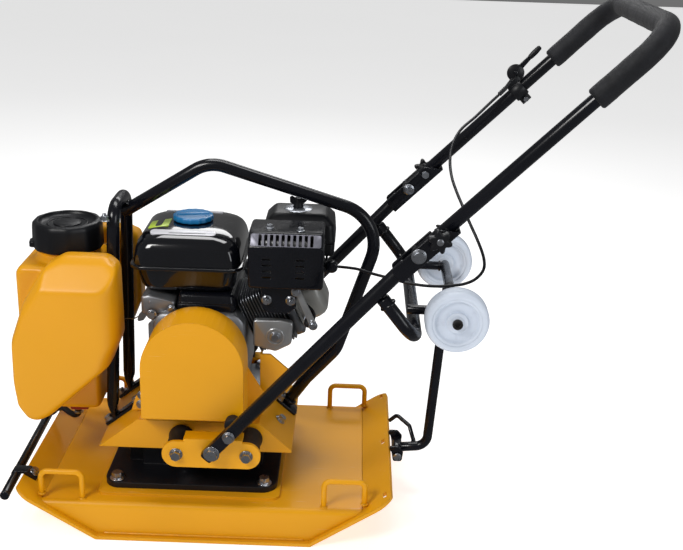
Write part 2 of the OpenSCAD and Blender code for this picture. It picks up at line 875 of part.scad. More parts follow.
tank_x = -252;
tap_at = [-252, 25, 10];
lobe_in = 65.5;
lobe = [
  [-166, 440], [-235, 440], [-262, 425], [-300, 366], [-321, 306], [-322, 232], [-317, 186],
  [-300, 160], [-284, 156], [-264, 166], [-212, 214], [-166, 256], [-146, 306], [-148, 425]
];

// The tank's form: two lobes, the middle body and the neck, each drawn in by an amount
module tank_form(g) {
  k = 1 - g / 70;
  c = [-232, 300];
  lobe_line = [for (p = rounded(lobe, 10, 4)) c + (p - c) * k];
  out = frame_y + 136 - g;
  side = rounded([[frame_y + 50, 140], [out, 140], [out, 392], [frame_y + 94, 446], [frame_y + 50, 446]],
    [0, 10, 14, 6, 0], 4);
  translate([0, frame_y, 0]) both_sides() translate([0, -frame_y, 0]) intersection() {
    plate_y(lobe_line, frame_y + lobe_in + g, frame_y + 140);
    plate_x(side, -400, -100);
  }
  intersection() {
    plate_y([
      [-196 - g, 408 - g], [-314 + g, 408 - g], [-326 + g, 396], [-326 + g, 300], [-300 + g, 190],
      [-276, 153 + g], [-196 - g, 153 + g]
    ], -200, 200);
    slab(rounded(box_pts(-326 + g, -196 - g, frame_y - lobe_in - 1 + g, frame_y + lobe_in + 1 - g),
      [22, 0, 0, 22], 5), 100, 500);
  }
  translate([tank_x, frame_y, 400 - g]) cylinder(h = 43, r = 53 - g);
}

module water_tank() {
  wall = 4;
  color(yellow) difference() {
    tank_form(0);
    tank_form(wall);
    translate([tank_x, frame_y, 380]) cylinder(h = 80, r = 49);
    for (s = [-1, 1]) translate([-290, frame_y + s * lobe_in - 8, 220]) cube([80, 16, 150]);
    translate([tap_at.x, tap_at.y, 140]) cylinder(h = 30, r = 8);
  }
}

module water_cap() {
  color(black) translate([tank_x, frame_y, 0]) difference() {
    union() {
      translate([0, 0, 426]) cylinder(h = 46, r = 58.5);
      rotate([0, 0, 190]) translate([50, -13, 426.5]) cube([13.5, 26, 9.5]);
    }
    translate([0, 0, 420]) cylinder(h = 25, r = 53.4);
    translate([0, 0, 468]) cylinder(h = 10, r = 46);
  }
}

module tap_body() {
  color("#B08D3C") translate(tap_at) difference() {
    union() {
      translate([0, 0, 118]) cylinder(h = 25, r = 9);
      translate([0, 0, 108]) cylinder(h = 11, r = 6);
      translate([0, -16, 128]) rotate([-90, 0, 0]) cylinder(h = 10, r = 5);
    }
    translate([0, -20, 128]) rotate([-90, 0, 0]) cylinder(h = 12, r = 3.05);
  }
}

module tap_lever() {
  color("#7A1F1A") translate(tap_at) {
    translate([0, -22, 128]) rotate([-90, 0, 0]) cylinder(h = 13, r = 3);
    translate([-4, -26, 124]) cube([30, 4, 8]);
  }
}

module water_hose() {
  color(rubber) swept(hose_pts, 5, 8);
}

module spray_bar() {
  bar_z = 82;
  lip_z = sole_t + (front_in_x + 299) * tan(front_a);
  near = [-313, -212, bar_z];
  far = [-322, 190, bar_z];
  color(black) {
    rod(near, far, 7.5);
    for (y = [-138, 138]) {
      x = near.x + (y - near.y) / (far.y - near.y) * (far.x - near.x);
      translate([x, y - 10, bar_z + 4]) cube([-x - 293, 20, 4]);
      translate([-299, y - 10, lip_z]) rotate([0, front_a, 0]) cube([20, 20, 5]);
    }
    rod([-303, 62, 98], [-319, 70, bar_z], 6);
  }
}

// ---------------------------------------------------------------- wheels

module wheel_frame() {
  foot = [368, 0, 84];
  arm_y = 108;
  color(black) {
    difference() {
      union() {
        rod([axle.x, -118, axle.z], [axle.x, 118, axle.z], frame_rod_r);
        swept(bent_path([
          [lip_pin.x + 2, 0, lip_pin.z], foot, [axle.x - 4, 0, axle.z]
        ], 22, 6), frame_rod_r - 0.4, 16);
        both_sides() swept([[314, arm_y, 384], [axle.x - 2, arm_y, 382.5]], 7.5, 14);
        along_y(lip_pin.x, lip_pin.z, -26, 26, 9);
      }
      along_y(lip_pin.x, lip_pin.z, -40, 40, 4.05);
      along_y(axle.x, axle.z, -120, -96, 5);
      along_y(axle.x, axle.z, 96, 120, 5);
    }
    swept(bent_path([[346, 4, 88], [338, 26, 108], [316, 46, 118], [303, 50, 104]], 7, 4), 3.6, 8);
  }
}

module wheel_axles() {
  color(zinc) both_sides() {
    along_y(axle.x, axle.z, 96, wheel_y + wheel_w / 2 + 0.8, 5);
    along_y(axle.x, axle.z, 118, wheel_y + wheel_w / 2 + 0.8, 6);
    head_y(axle.x, axle.z, wheel_y + wheel_w / 2 + 0.8, 1, 14, 6);
  }
}

module wheel(side) {
  h = wheel_w / 2;
  profile = [
    [6.05, -h], [17, -h], [17, -h + 5], [19, -h + 8], [33, -h + 8], [36, -h + 3], [38, -h + 1],
    [wheel_r - 4, -h], [wheel_r, -h + 5], [wheel_r, h - 5], [wheel_r - 4, h], [38, h - 1], [36, h - 3],
    [33, h - 8], [19, h - 8], [17, h - 5], [17, h], [6.05, h]
  ];
  color(white) translate([axle.x, side * wheel_y, axle.z]) rotate([90, 0, 0]) rotate_extrude($fn = 72)
    polygon(profile);
}

module wheel_near() {
  wheel(-1);
}

module wheel_far() {
  wheel(1);
}

module lip_hinge() {
  color(black) {
    both_sides() difference() {
      plate_y([[302.2, 90.6], [305.6, 85.4], [309, 68], [324, 68], [326, 86], [316, 96], [304, 96]], 27, 32);
      along_y(lip_pin.x, lip_pin.z, 26, 33, 3.98);
    }
  }
  color(zinc) along_y(lip_pin.x, lip_pin.z, -36, 36, 3.98);
}

sole_plate();
deck_plate();
lifting_staples();
exciter_housing();
exciter_covers();
exciter_bearings();
eccentric_shaft();
exciter_pulley();
engine_bed();
rubber_mounts();
bed_fasteners();
handle_brackets();
handle_buffers();
handle_bolts();
handle_tube_near();
handle_tube_far();
handle_u_frame();
handle_upper();
foam_grip();
star_knob_near();
star_knob_far();
throttle_clamp();
throttle_lever();
throttle_cable();
roll_hoop();
hoop_legs();
frame_bolts();
belt_guard();
v_belt();
clutch_drum();
crankshaft();
flywheel();
crankcase();
cylinder_node();  // cylinder
rocker_cover();
muffler_stay();
engine_bracket();
recoil_cover();
recoil_handle();
fuel_tank();
fuel_cap();
air_cleaner();
wing_nut();
muffler();
muffler_guard();
carburettor();
choke_lever();
spark_plug();
water_tank();
water_cap();
tap_body();
tap_lever();
water_hose();
spray_bar();
wheel_frame();
wheel_axles();
wheel_near();
wheel_far();
lip_hinge();
engine_switch();
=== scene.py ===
import math
import random

import bmesh
import bpy
from mathutils import Matrix, Vector, noise


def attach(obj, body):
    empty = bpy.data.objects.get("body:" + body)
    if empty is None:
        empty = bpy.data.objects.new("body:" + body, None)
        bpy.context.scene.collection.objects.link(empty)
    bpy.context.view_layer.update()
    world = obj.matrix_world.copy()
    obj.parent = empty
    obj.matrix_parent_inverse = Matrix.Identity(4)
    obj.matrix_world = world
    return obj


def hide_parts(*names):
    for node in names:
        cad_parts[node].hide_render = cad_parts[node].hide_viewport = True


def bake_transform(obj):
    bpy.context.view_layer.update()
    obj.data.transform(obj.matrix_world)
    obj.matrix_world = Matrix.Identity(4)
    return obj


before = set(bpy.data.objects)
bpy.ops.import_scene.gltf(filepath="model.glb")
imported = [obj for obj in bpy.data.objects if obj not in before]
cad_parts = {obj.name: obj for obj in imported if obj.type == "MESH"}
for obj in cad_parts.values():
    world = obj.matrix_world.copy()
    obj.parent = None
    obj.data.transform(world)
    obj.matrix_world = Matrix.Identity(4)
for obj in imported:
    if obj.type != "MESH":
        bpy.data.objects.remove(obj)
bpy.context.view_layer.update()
MM = 0.001
X, Y, Z = Vector((1, 0, 0)), Vector((0, 1, 0)), Vector((0, 0, 1))
scene = bpy.context.scene


def V(*p):
    return Vector(p)


# ---------------------------------------------------------------- camera

def make_camera():
    """The photograph's viewpoint, as solved from the machine's known dimensions."""
    yaw, pitch, roll = (math.radians(a) for a in (-0.372, 19.891, 1.885))
    ahead = V(math.sin(yaw) * math.cos(pitch), math.cos(yaw) * math.cos(pitch), -math.sin(pitch))
    right = V(math.cos(yaw), -math.sin(yaw), 0)
    up = right.cross(ahead)
    right, up = (right * math.cos(roll) + up * math.sin(roll), up * math.cos(roll) - right * math.sin(roll))
    data = bpy.data.cameras.new("camera")
    data.sensor_width = 36
    data.lens = 56.832562
    data.clip_start = 0.05
    cam = bpy.data.objects.new("camera", data)
    scene.collection.objects.link(cam)
    turn = Matrix((right, up, -ahead)).transposed().to_4x4()
    cam.matrix_world = Matrix.Translation(V(0.21953, -1.69047, 1.00962)) @ turn
    scene.camera = cam


make_camera()


# ---------------------------------------------------------------- materials

class Graph:
    """A short way to write one material's nodes."""

    def __init__(self, name):
        self.mat = bpy.data.materials.new(name)
        self.mat.use_nodes = True
        self.tree = self.mat.node_tree
        self.shader = self.tree.nodes["Principled BSDF"]
        coords = self.tree.nodes.new("ShaderNodeTexCoord")
        self.where = coords.outputs["Object"]

    def node(self, kind, **props):
        made = self.tree.nodes.new(kind)
        for key, value in props.items():
            setattr(made, key, value)
        return made

    def link(self, a, b):
        self.tree.links.new(a, b)

    def put(self, socket, value):
        if isinstance(value, bpy.types.NodeSocket):
            self.link(value, socket)
        else:
            socket.default_value = value

    def noise(self, scale, detail=3.0, rough=0.55, stretch=None, distortion=0.0):
        made = self.node("ShaderNodeTexNoise")
        made.inputs["Scale"].default_value = scale
        made.inputs["Detail"].default_value = detail
        made.inputs["Roughness"].default_value = rough
        made.inputs["Distortion"].default_value = distortion
        if stretch:
            mapping = self.node("ShaderNodeMapping")
            mapping.inputs["Scale"].default_value = stretch
            self.link(self.where, mapping.inputs["Vector"])
            self.link(mapping.outputs["Vector"], made.inputs["Vector"])
        else:
            self.link(self.where, made.inputs["Vector"])
        return made.outputs["Fac"]

    def voronoi(self, scale, feature="F1"):
        made = self.node("ShaderNodeTexVoronoi", feature=feature)
        made.inputs["Scale"].default_value = scale
        self.link(self.where, made.inputs["Vector"])
        return made.outputs["Distance"]

    def ramp(self, value, lo, hi, a=0.0, b=1.0):
        made = self.node("ShaderNodeMapRange")
        self.put(made.inputs["Value"], value)
        for key, number in (("From Min", lo), ("From Max", hi), ("To Min", a), ("To Max", b)):
            self.put(made.inputs[key], number)
        return made.outputs["Result"]

    def math(self, kind, a, b=0.0):
        made = self.node("ShaderNodeMath", operation=kind)
        self.put(made.inputs[0], a)
        self.put(made.inputs[1], b)
        return made.outputs[0]

    def mix(self, factor, a, b):
        made = self.node("ShaderNodeMix", data_type="RGBA")
        self.put(made.inputs["Factor"], factor)
        for key, value in (("A", a), ("B", b)):
            socket = [s for s in made.inputs if s.name == key and s.type == "RGBA"][0]
            self.put(socket, value if isinstance(value, bpy.types.NodeSocket) else (*value, 1))
        return [s for s in made.outputs if s.type == "RGBA"][0]

    def edges(self, radius):
        """1 along convex and concave edges, 0 on flat ground, and the rounded normal."""
        bevel = self.node("ShaderNodeBevel", samples=4)
        bevel.inputs["Radius"].default_value = radius
        geometry = self.node("ShaderNodeNewGeometry")
        dot = self.node("ShaderNodeVectorMath", operation="DOT_PRODUCT")
        self.link(bevel.outputs["Normal"], dot.inputs[0])
        self.link(geometry.outputs["Normal"], dot.inputs[1])
        return self.ramp(dot.outputs["Value"], 0.995, 0.88), bevel.outputs["Normal"]

    def facing_up(self):
        geometry = self.node("ShaderNodeNewGeometry")
        split = self.node("ShaderNodeSeparateXYZ")
        self.link(geometry.outputs["Normal"], split.inputs[0])
        return split.outputs["Z"]


def material(name, base, rough, metallic=0.0, vary=0.1, vscale=9.0, bumps=(), rvar=0.08, bevel=0.0012,
        edge_wear_and_highlight=None, coat=0.0, coat_rough=0.1, dust=None, sheen=0.0, specular=0.5, blotch=None, scratches=0.0,
        cells=None):
    g = Graph(name)
    dark = [c * (1 - vary) for c in base]
    light = [min(1, c * (1 + vary)) for c in base]
    colour = g.mix(g.ramp(g.noise(vscale, 4), 0.3, 0.7), dark, light)
    if blotch:
        mask = g.ramp(g.noise(blotch[1], 5, 0.62, distortion=0.6), blotch[2], blotch[2] + 0.12)
        colour = g.mix(g.math("MULTIPLY", mask, blotch[3]), colour, blotch[0])
    if dust:
        up = g.ramp(g.facing_up(), 0.55, 0.98)
        film = g.ramp(g.noise(14, 6, 0.65), 0.38, 0.72)
        colour = g.mix(g.math("MULTIPLY", g.math("MULTIPLY", up, film), dust[1]), colour, dust[0])
    roughness = g.ramp(g.noise(vscale * 2.7, 5, 0.6), 0.25, 0.75, max(0.02, rough - rvar),
        min(1, rough + rvar))
    edge, normal = g.edges(bevel)
    # Edge colour in patches: worn edges on the paints, and a painted highlight along the fin edges.
    if edge_wear_and_highlight:
        patch = g.ramp(g.noise(85, 4, 0.7), 0.46, 0.62)
        colour = g.mix(g.math("MULTIPLY", g.math("MULTIPLY", edge, patch), edge_wear_and_highlight[1]), colour, edge_wear_and_highlight[0])
    if scratches:
        marks = g.ramp(g.noise(30, 3, 0.6, stretch=(0.6, 4, 22)), 0.66, 0.72)
        spread = g.ramp(g.noise(6, 2), 0.48, 0.62)
        mark = g.math("MULTIPLY", g.math("MULTIPLY", marks, spread), scratches)
        colour = g.mix(mark, colour, [min(1, c * 0.7 + 0.28) for c in base])
        roughness = g.math("ADD", roughness, g.math("MULTIPLY", mark, 0.3))
    for scale, detail, strength, distance in bumps:
        bump = g.node("ShaderNodeBump")
        bump.inputs["Strength"].default_value = strength
        bump.inputs["Distance"].default_value = distance
        g.link(g.noise(scale, detail), bump.inputs["Height"])
        g.link(normal, bump.inputs["Normal"])
        normal = bump.outputs["Normal"]
    if cells:
        bump = g.node("ShaderNodeBump")
        bump.inputs["Strength"].default_value = cells[1]
        bump.inputs["Distance"].default_value = cells[2]
        g.link(g.voronoi(cells[0]), bump.inputs["Height"])
        g.link(normal, bump.inputs["Normal"])
        normal = bump.outputs["Normal"]
    g.link(colour, g.shader.inputs["Base Color"])
    g.link(roughness, g.shader.inputs["Roughness"])
    g.link(normal, g.shader.inputs["Normal"])
    g.shader.inputs["Metallic"].default_value = metallic
    g.shader.inputs["Coat Weight"].default_value = coat
    g.shader.inputs["Coat Roughness"].default_value = coat_rough
    g.shader.inputs["Specular IOR Level"].default_value = specular
    if sheen:
        g.shader.inputs["Sheen Weight"].default_value = sheen
        g.shader.inputs["Sheen Roughness"].default_value = 0.5
    return g.mat


DUST = (0.42, 0.36, 0.28)
YELLOW = (0.74, 0.33, 0.001)

M = {
    "yellow_paint": material("yellow_paint", YELLOW, 0.4, vary=0.035, vscale=5, rvar=0.06, bevel=0.0022,
        bumps=[(260, 2, 0.05, 0.0006), (1400, 2, 0.035, 0.0002)], coat=0.1, coat_rough=0.18, specular=0.3,
        blotch=((0.74, 0.3, 0.01), 4.5, 0.6, 0.3), scratches=0.35, dust=(DUST, 0.03),
        edge_wear_and_highlight=((0.6, 0.27, 0.01), 0.3)),
    "black_paint": material("black_paint", (0.0035, 0.004, 0.0065), 0.24, vary=0.3, rvar=0.07,
        bumps=[(420, 2, 0.04, 0.0005), (1600, 2, 0.03, 0.0002)], coat=0.25, coat_rough=0.1, specular=0.3,
        edge_wear_and_highlight=((0.05, 0.052, 0.06), 0.3)),
    "black_cast": material("black_cast", (0.004, 0.0042, 0.006), 0.46, vary=0.3, rvar=0.1, bevel=0.003,
        bumps=[(300, 4, 0.3, 0.001), (900, 3, 0.2, 0.0005)], coat=0.1, coat_rough=0.3, specular=0.28),
    "zinc_steel": material("zinc_steel", (0.44, 0.46, 0.5), 0.3, metallic=1.0, vary=0.07, vscale=40,
        rvar=0.08, bevel=0.0004, bumps=[(900, 3, 0.05, 0.0002)], blotch=((0.3, 0.3, 0.3), 60, 0.6, 0.4)),
    "machined_steel": material("machined_steel", (0.36, 0.36, 0.37), 0.34, metallic=1.0, vary=0.12,
        vscale=40, bumps=[(700, 2, 0.1, 0.0003)], blotch=((0.22, 0.2, 0.18), 40, 0.6, 0.4)),
    "smooth_alloy": material("smooth_alloy", (0.5, 0.51, 0.52), 0.33, metallic=0.9, vary=0.05, vscale=14,
        bevel=0.0012, rvar=0.07, bumps=[(420, 3, 0.07, 0.0004)], blotch=((0.5, 0.5, 0.49), 12, 0.58, 0.3)),
    # Dark fins whose near-white edge colour is a painted highlight along the fin edges.
    "fin_alloy": material("fin_alloy", (0.2, 0.21, 0.23), 0.36, metallic=0.95, vary=0.08, vscale=20,
        bevel=0.0006, bumps=[(600, 3, 0.1, 0.0004)], edge_wear_and_highlight=((0.75, 0.76, 0.78), 0.7)),
    # Lighter grey for the muffler guard's chamfer band: a painted reflection on the black guard.
    "painted_reflection_grey": material("painted_reflection_grey", (0.2, 0.2, 0.24), 0.4, metallic=0.5, vary=0.06, vscale=30,
        bevel=0.0004, bumps=[(700, 2, 0.05, 0.0002)]),
    "dark_rubber": material("dark_rubber", (0.008, 0.008, 0.01), 0.6, vary=0.25, bevel=0.0015,
        bumps=[(700, 3, 0.14, 0.0004)], dust=(DUST, 0.05), specular=0.3),
    "foam": material("foam", (0.006, 0.0065, 0.009), 0.66, vary=0.3, vscale=40, rvar=0.1, sheen=0.06,
        bumps=[(500, 4, 0.25, 0.0005)], cells=(900, 0.3, 0.0005), specular=0.32),
    "black_plastic": material("black_plastic", (0.005, 0.0055, 0.0075), 0.38, vary=0.2, rvar=0.08,
        bevel=0.0008, bumps=[(1100, 3, 0.14, 0.0003)], specular=0.35),
    "cast_alloy": material("cast_alloy", (0.3, 0.31, 0.33), 0.42, metallic=0.85, vary=0.08, vscale=14,
        bevel=0.0012, bumps=[(380, 4, 0.14, 0.0006), (1200, 3, 0.1, 0.0003)],
        blotch=((0.2, 0.2, 0.2), 12, 0.58, 0.35)),
    "grey_enamel": material("grey_enamel", (0.27, 0.27, 0.255), 0.34, metallic=0.35, vary=0.04,
        bevel=0.0016, bumps=[(500, 2, 0.05, 0.0004)], coat=0.25, coat_rough=0.2),
    "gloss_black": material("gloss_black", (0.002, 0.0024, 0.004), 0.13, vary=0.2, rvar=0.03,
        bumps=[(700, 2, 0.015, 0.0002)], coat=0.8, coat_rough=0.03, specular=0.35),
    "blue_plastic": material("blue_plastic", (0.004, 0.17, 0.42), 0.3, vary=0.06, bevel=0.0008,
        bumps=[(900, 2, 0.06, 0.0002)], coat=0.25),
    "yellow_plastic": material("yellow_plastic", (0.74, 0.33, 0.001), 0.4, vary=0.03, vscale=6, rvar=0.06,
        bevel=0.002, bumps=[(180, 3, 0.05, 0.0009), (900, 3, 0.05, 0.0003)], coat=0.12, coat_rough=0.25,
        blotch=((0.76, 0.32, 0.006), 7, 0.58, 0.3), specular=0.38),
    "brass": material("brass", (0.55, 0.38, 0.14), 0.32, metallic=1.0, vary=0.12, vscale=60,
        bumps=[(800, 2, 0.1, 0.0003)], blotch=((0.3, 0.2, 0.09), 60, 0.6, 0.6)),
    "red_plastic": material("red_plastic", (0.33, 0.02, 0.012), 0.34, vary=0.1, bevel=0.0006,
        bumps=[(900, 2, 0.08, 0.0002)], coat=0.2),
    "white_nylon": material("white_nylon", (0.6, 0.66, 0.76), 0.36, vary=0.04, vscale=18, rvar=0.08,
        bumps=[(700, 3, 0.06, 0.0003)], blotch=((0.42, 0.47, 0.56), 24, 0.6, 0.4), specular=0.4),
    "label": material("label", (0.6, 0.6, 0.64), 0.35, vary=0.03, coat=0.4, bevel=0.0003,
        bumps=[(1200, 2, 0.03, 0.0002)]),
    "label_green": material("label_green", (0.42, 0.56, 0.05), 0.35, vary=0.05, coat=0.4, bevel=0.0003,
        bumps=[(1200, 2, 0.03, 0.0002)]),
    "dark_steel": material("dark_steel", (0.03, 0.028, 0.028), 0.5, metallic=0.6, vary=0.3, vscale=40,
        bumps=[(500, 4, 0.25, 0.0006)], blotch=((0.1, 0.05, 0.03), 30, 0.55, 0.4)),
    # Near-black and hardly reflecting: painted shade for holes and slot depths.
    "painted_hole_shade": material("painted_hole_shade", (0.002, 0.002, 0.002), 0.8, vary=0.1, bumps=[(600, 2, 0.1, 0.0003)],
        specular=0.05),
    "weld_yellow": material("weld_yellow", (0.74, 0.32, 0.004), 0.36, vary=0.08, vscale=90, bevel=0.0006,
        bumps=[(420, 3, 0.3, 0.0006)], coat=0.2, coat_rough=0.2),
}


# ---------------------------------------------------------------- mesh tools

def to_object(name, bm):
    bmesh.ops.remove_doubles(bm, verts=bm.verts, dist=1e-4)
    bmesh.ops.recalc_face_normals(bm, faces=bm.faces)
    bmesh.ops.scale(bm, vec=(MM, MM, MM), verts=bm.verts)
    data = bpy.data.meshes.new(name)
    bm.to_mesh(data)
    bm.free()
    made = bpy.data.objects.new(name, data)
    scene.collection.objects.link(made)
    return made


def piece(name, bm, look, body, hides=(), bevel=0.0, segments=2, subsurf=0, angle=32,
        remesh=None, cut=None):
    """Turns a bmesh in millimetres into a finished piece in metres. cut is a bmesh taken away from it."""
    made = to_object(name, bm)
    data = made.data
    cutter = to_object(name + "_cutter", cut) if cut else None
    if cutter:
        m = made.modifiers.new("cut", "BOOLEAN")
        m.operation = "DIFFERENCE"
        m.solver = "EXACT"
        m.use_self = True
        m.object = cutter
    if remesh:
        voxel, rounds, factor = remesh
        m = made.modifiers.new("remesh", "REMESH")
        m.mode = "VOXEL"
        m.voxel_size = voxel * MM
        s = made.modifiers.new("smooth", "SMOOTH")
        s.factor = factor
        s.iterations = rounds
    if bevel:
        m = made.modifiers.new("bevel", "BEVEL")
        m.width = bevel * MM
        m.segments = segments
        m.limit_method = "ANGLE"
        m.angle_limit = math.radians(angle)
        m.harden_normals = False
    if subsurf:
        m = made.modifiers.new("subsurf", "SUBSURF")
        m.levels = m.render_levels = subsurf
    if made.modifiers:
        bpy.context.view_layer.update()
        ready = bpy.data.meshes.new_from_object(made.evaluated_get(bpy.context.evaluated_depsgraph_get()))
        made.modifiers.clear()
        made.data = ready
        bpy.data.meshes.remove(data)
        ready.name = name
    if cutter:
        bpy.data.meshes.remove(cutter.data)
    made.data.shade_smooth()
    made.data.set_sharp_from_angle(angle=math.radians(48))
    made.data.materials.clear()
    made.data.materials.append(M[look])
    if body:
        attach(made, body)
    if hides:
        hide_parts(*hides)
    return made


def basis(at, z, x=None):
    """A matrix that puts local Z along z, and local X near x."""
    z = Vector(z).normalized()
    x = Vector(x) if x else (X if abs(z.x) < 0.9 else Y)
    y = z.cross(x).normalized()
    x = y.cross(z)
    turn = Matrix((x, y, z)).transposed().to_4x4()
    return Matrix.Translation(Vector(at)) @ turn


def polar(radius, angle, height=0.0):
    return V(radius * math.cos(angle), radius * math.sin(angle), height)


def lift(height):
    return Matrix.Translation(V(0, 0, height))


def spin(angle):
    return Matrix.Rotation(angle, 4, "Z")


def ring(bm, points):
    return [bm.verts.new(p) for p in points]


def bridge(bm, a, b):
    n = len(a)
    for i in range(n):
        bm.faces.new((a[i], a[(i + 1) % n], b[(i + 1) % n], b[i]))


def skin(bm, rings):
    """Joins the rings one to the next and closes both ends."""
    for a, b in zip(rings, rings[1:]):
        bridge(bm, a, b)
    bm.faces.new(rings[0])
    bm.faces.new(rings[-1])


def lathe(bm, profile, at, steps=40, closed=False):
    """Turns (radius, height) points about local Z. A radius of 0 closes the form."""
    rings = []
    for r, h in profile:
        if r < 1e-6:
            rings.append([bm.verts.new(at @ V(0, 0, h))])
        else:
            rings.append(ring(bm, [at @ polar(r, 2 * math.pi * i / steps, h) for i in range(steps)]))
    pairs = list(zip(rings, rings[1:]))
    if closed:
        pairs.append((rings[-1], rings[0]))
    for a, b in pairs:
        if len(a) == 1 and len(b) == 1:
            continue
        if len(a) == 1 or len(b) == 1:
            pole, rim = (a[0], b) if len(a) == 1 else (b[0], a)
            for i in range(steps):
                bm.faces.new((pole, rim[i], rim[(i + 1) % steps]))
        else:
            bridge(bm, a, b)
    if not closed:
        for end in (rings[0], rings[-1]):
            if len(end) > 1:
                bm.faces.new(end)


def disc(bm, at, r, h, soft=0.6, steps=40, hole=0.0):
    """A short cylinder with softened rims, from local z 0 to h, or a ring."""
    s = min(soft, h / 2.2, r / 2.2)
    if hole:
        lathe(bm, [(hole, 0), (r - s, 0), (r, s), (r, h - s), (r - s, h), (hole, h)], at, steps,
            closed=True)
    else:
        lathe(bm, [(0, 0), (r - s, 0), (r, s), (r, h - s), (r - s, h), (0, h)], at, steps)


def stack(bm, outline, levels, at=Matrix.Identity(4)):
    """An outline in local XY repeated at (height, inset) levels along local Z, with flat ends."""
    xs, ys = [p[0] for p in outline], [p[1] for p in outline]
    cx, cy = (min(xs) + max(xs)) / 2, (min(ys) + max(ys)) / 2
    hx, hy = (max(xs) - min(xs)) / 2, (max(ys) - min(ys)) / 2
    rings = []
    for h, inset in levels:
        kx, ky = 1 - inset / hx, 1 - inset / hy
        rings.append(ring(bm, [at @ V(cx + (p[0] - cx) * kx, cy + (p[1] - cy) * ky, h) for p in outline]))
    skin(bm, rings)


def soft_ends(low, high, run, inset):
    """Levels for a slab whose two ends draw in by inset over a short run."""
    return [(low, inset), (low + run, 0), (high - run, 0), (high, inset)]


def prism(bm, outline, h0, h1, at=Matrix.Identity(4), top_in=0.0, bottom_in=0.0):
    """An outline in local XY extruded along local Z. Either end may be drawn in towards its middle."""
    stack(bm, outline, [(h0, bottom_in), (h1, top_in)], at)


def block(bm, lo, hi, at=Matrix.Identity(4)):
    prism(bm, [(lo[0], lo[1]), (hi[0], lo[1]), (hi[0], hi[1]), (lo[0], hi[1])], lo[2], hi[2], at)


def rounded(points, radii, n=6):
    """A 2-D outline with arcs at its corners."""
    out = []
    m = len(points)
    for i, p in enumerate(points):
        r = radii[i] if isinstance(radii, (list, tuple)) else radii
        p = Vector(p)
        if r < 0.01:
            out.append(p)
            continue
        u = (Vector(points[i - 1]) - p).normalized()
        v = (Vector(points[(i + 1) % m]) - p).normalized()
        half = math.acos(max(-1, min(1, u.dot(v)))) / 2
        c = p + (u + v).normalized() * (r / math.sin(half))
        s = p + u * (r / math.tan(half)) - c
        turn = (1 if (-u).cross(v) > 0 else -1) * (math.pi - 2 * half)
        a0 = math.atan2(s.y, s.x)
        for k in range(n + 1):
            a = a0 + turn * k / n
            out.append(c + Vector((math.cos(a), math.sin(a))) * r)
    return out


def rect(x0, x1, y0, y1):
    return [(x0, y0), (x1, y0), (x1, y1), (x0, y1)]


XZ = Matrix(((1, 0, 0, 0), (0, 0, 1, 0), (0, 1, 0, 0), (0, 0, 0, 1)))
YZ = Matrix(((0, 0, 1, 0), (1, 0, 0, 0), (0, 1, 0, 0), (0, 0, 0, 1)))


def bent(points, bends, n=10):
    """The line through the points with each inner corner bent to a radius."""
    points = [Vector(p) for p in points]
    out = [points[0]]
    for i in range(1, len(points) - 1):
        bend = bends[i - 1] if isinstance(bends, (list, tuple)) else bends
        p = points[i]
        u, v = (points[i - 1] - p).normalized(), (points[i + 1] - p).normalized()
        half = math.acos(max(-1, min(1, u.dot(v)))) / 2
        c = p + (u + v).normalized() * (bend / math.sin(half))
        s = p + u * (bend / math.tan(half)) - c
        sweep = math.pi - 2 * half
        for k in range(n + 1):
            a = sweep * k / n
            out.append(c + s * math.cos(a) - u * (bend * math.sin(a)))
    out.append(points[-1])
    return out


def resample(path, step):
    """Adds points to long straight stretches, so a form can vary along them."""
    out = [path[0]]
    for a, b in zip(path, path[1:]):
        n = max(1, int((b - a).length / step))
        out += [a.lerp(b, (k + 1) / n) for k in range(n)]
    return out


def curve_through(points, n=8):
    """A smooth line through every point (Catmull-Rom)."""
    pts = [Vector(p) for p in points]
    pts = [pts[0] * 2 - pts[1]] + pts + [pts[-1] * 2 - pts[-2]]
    out = []
    for i in range(1, len(pts) - 2):
        a, b, c, d = pts[i - 1:i + 3]
        for k in range(n):
            t = k / n
            out.append(0.5 * (2 * b + (c - a) * t + (2 * a - 5 * b + 4 * c - d) * t * t
                + (3 * b - a - 3 * c + d) * t ** 3))
    out.append(pts[-2])
    return out


def sweep(bm, path, r, sides=28, soft=1.0, shape=None):
    """A tube along a path. shape(distance, total) may return (across, along Y) radii."""
    path = [Vector(p) for p in path]
    n = len(path)
    dirs = [(path[min(i + 1, n - 1)] - path[max(i - 1, 0)]).normalized() for i in range(n)]
    side = Y - dirs[0] * Y.dot(dirs[0])
    side = side.normalized() if side.length > 0.2 else dirs[0].orthogonal().normalized()
    travelled = [0.0]
    for a, b in zip(path, path[1:]):
        travelled.append(travelled[-1] + (b - a).length)
    total = travelled[-1]
    stations = [(path[0], dirs[0], 0.0, 1 - min(0.5, soft / r))]
    stations += [(p, d, s, 1.0) for p, d, s in zip(path, dirs, travelled)]
    stations.append((path[-1], dirs[-1], total, 1 - min(0.5, soft / r)))
    stations[1] = (path[0] + dirs[0] * soft, dirs[0], soft, 1.0)
    stations[-2] = (path[-1] - dirs[-1] * soft, dirs[-1], total - soft, 1.0)
    rings = []
    for p, d, s, k in stations:
        side = (side - d * side.dot(d)).normalized()
        other = d.cross(side)
        ra, rb, power = (*(shape(s, total) if shape else (r, r)), 2.0)[:3]
        pts = []
        for i in range(sides):
            c, t = math.cos(2 * math.pi * i / sides), math.sin(2 * math.pi * i / sides)
            c, t = (math.copysign(abs(q) ** (2 / power), q) for q in (c, t))
            pts.append(p + k * (side * (rb * c) + other * (ra * t)))
        rings.append(ring(bm, pts))
    skin(bm, rings)


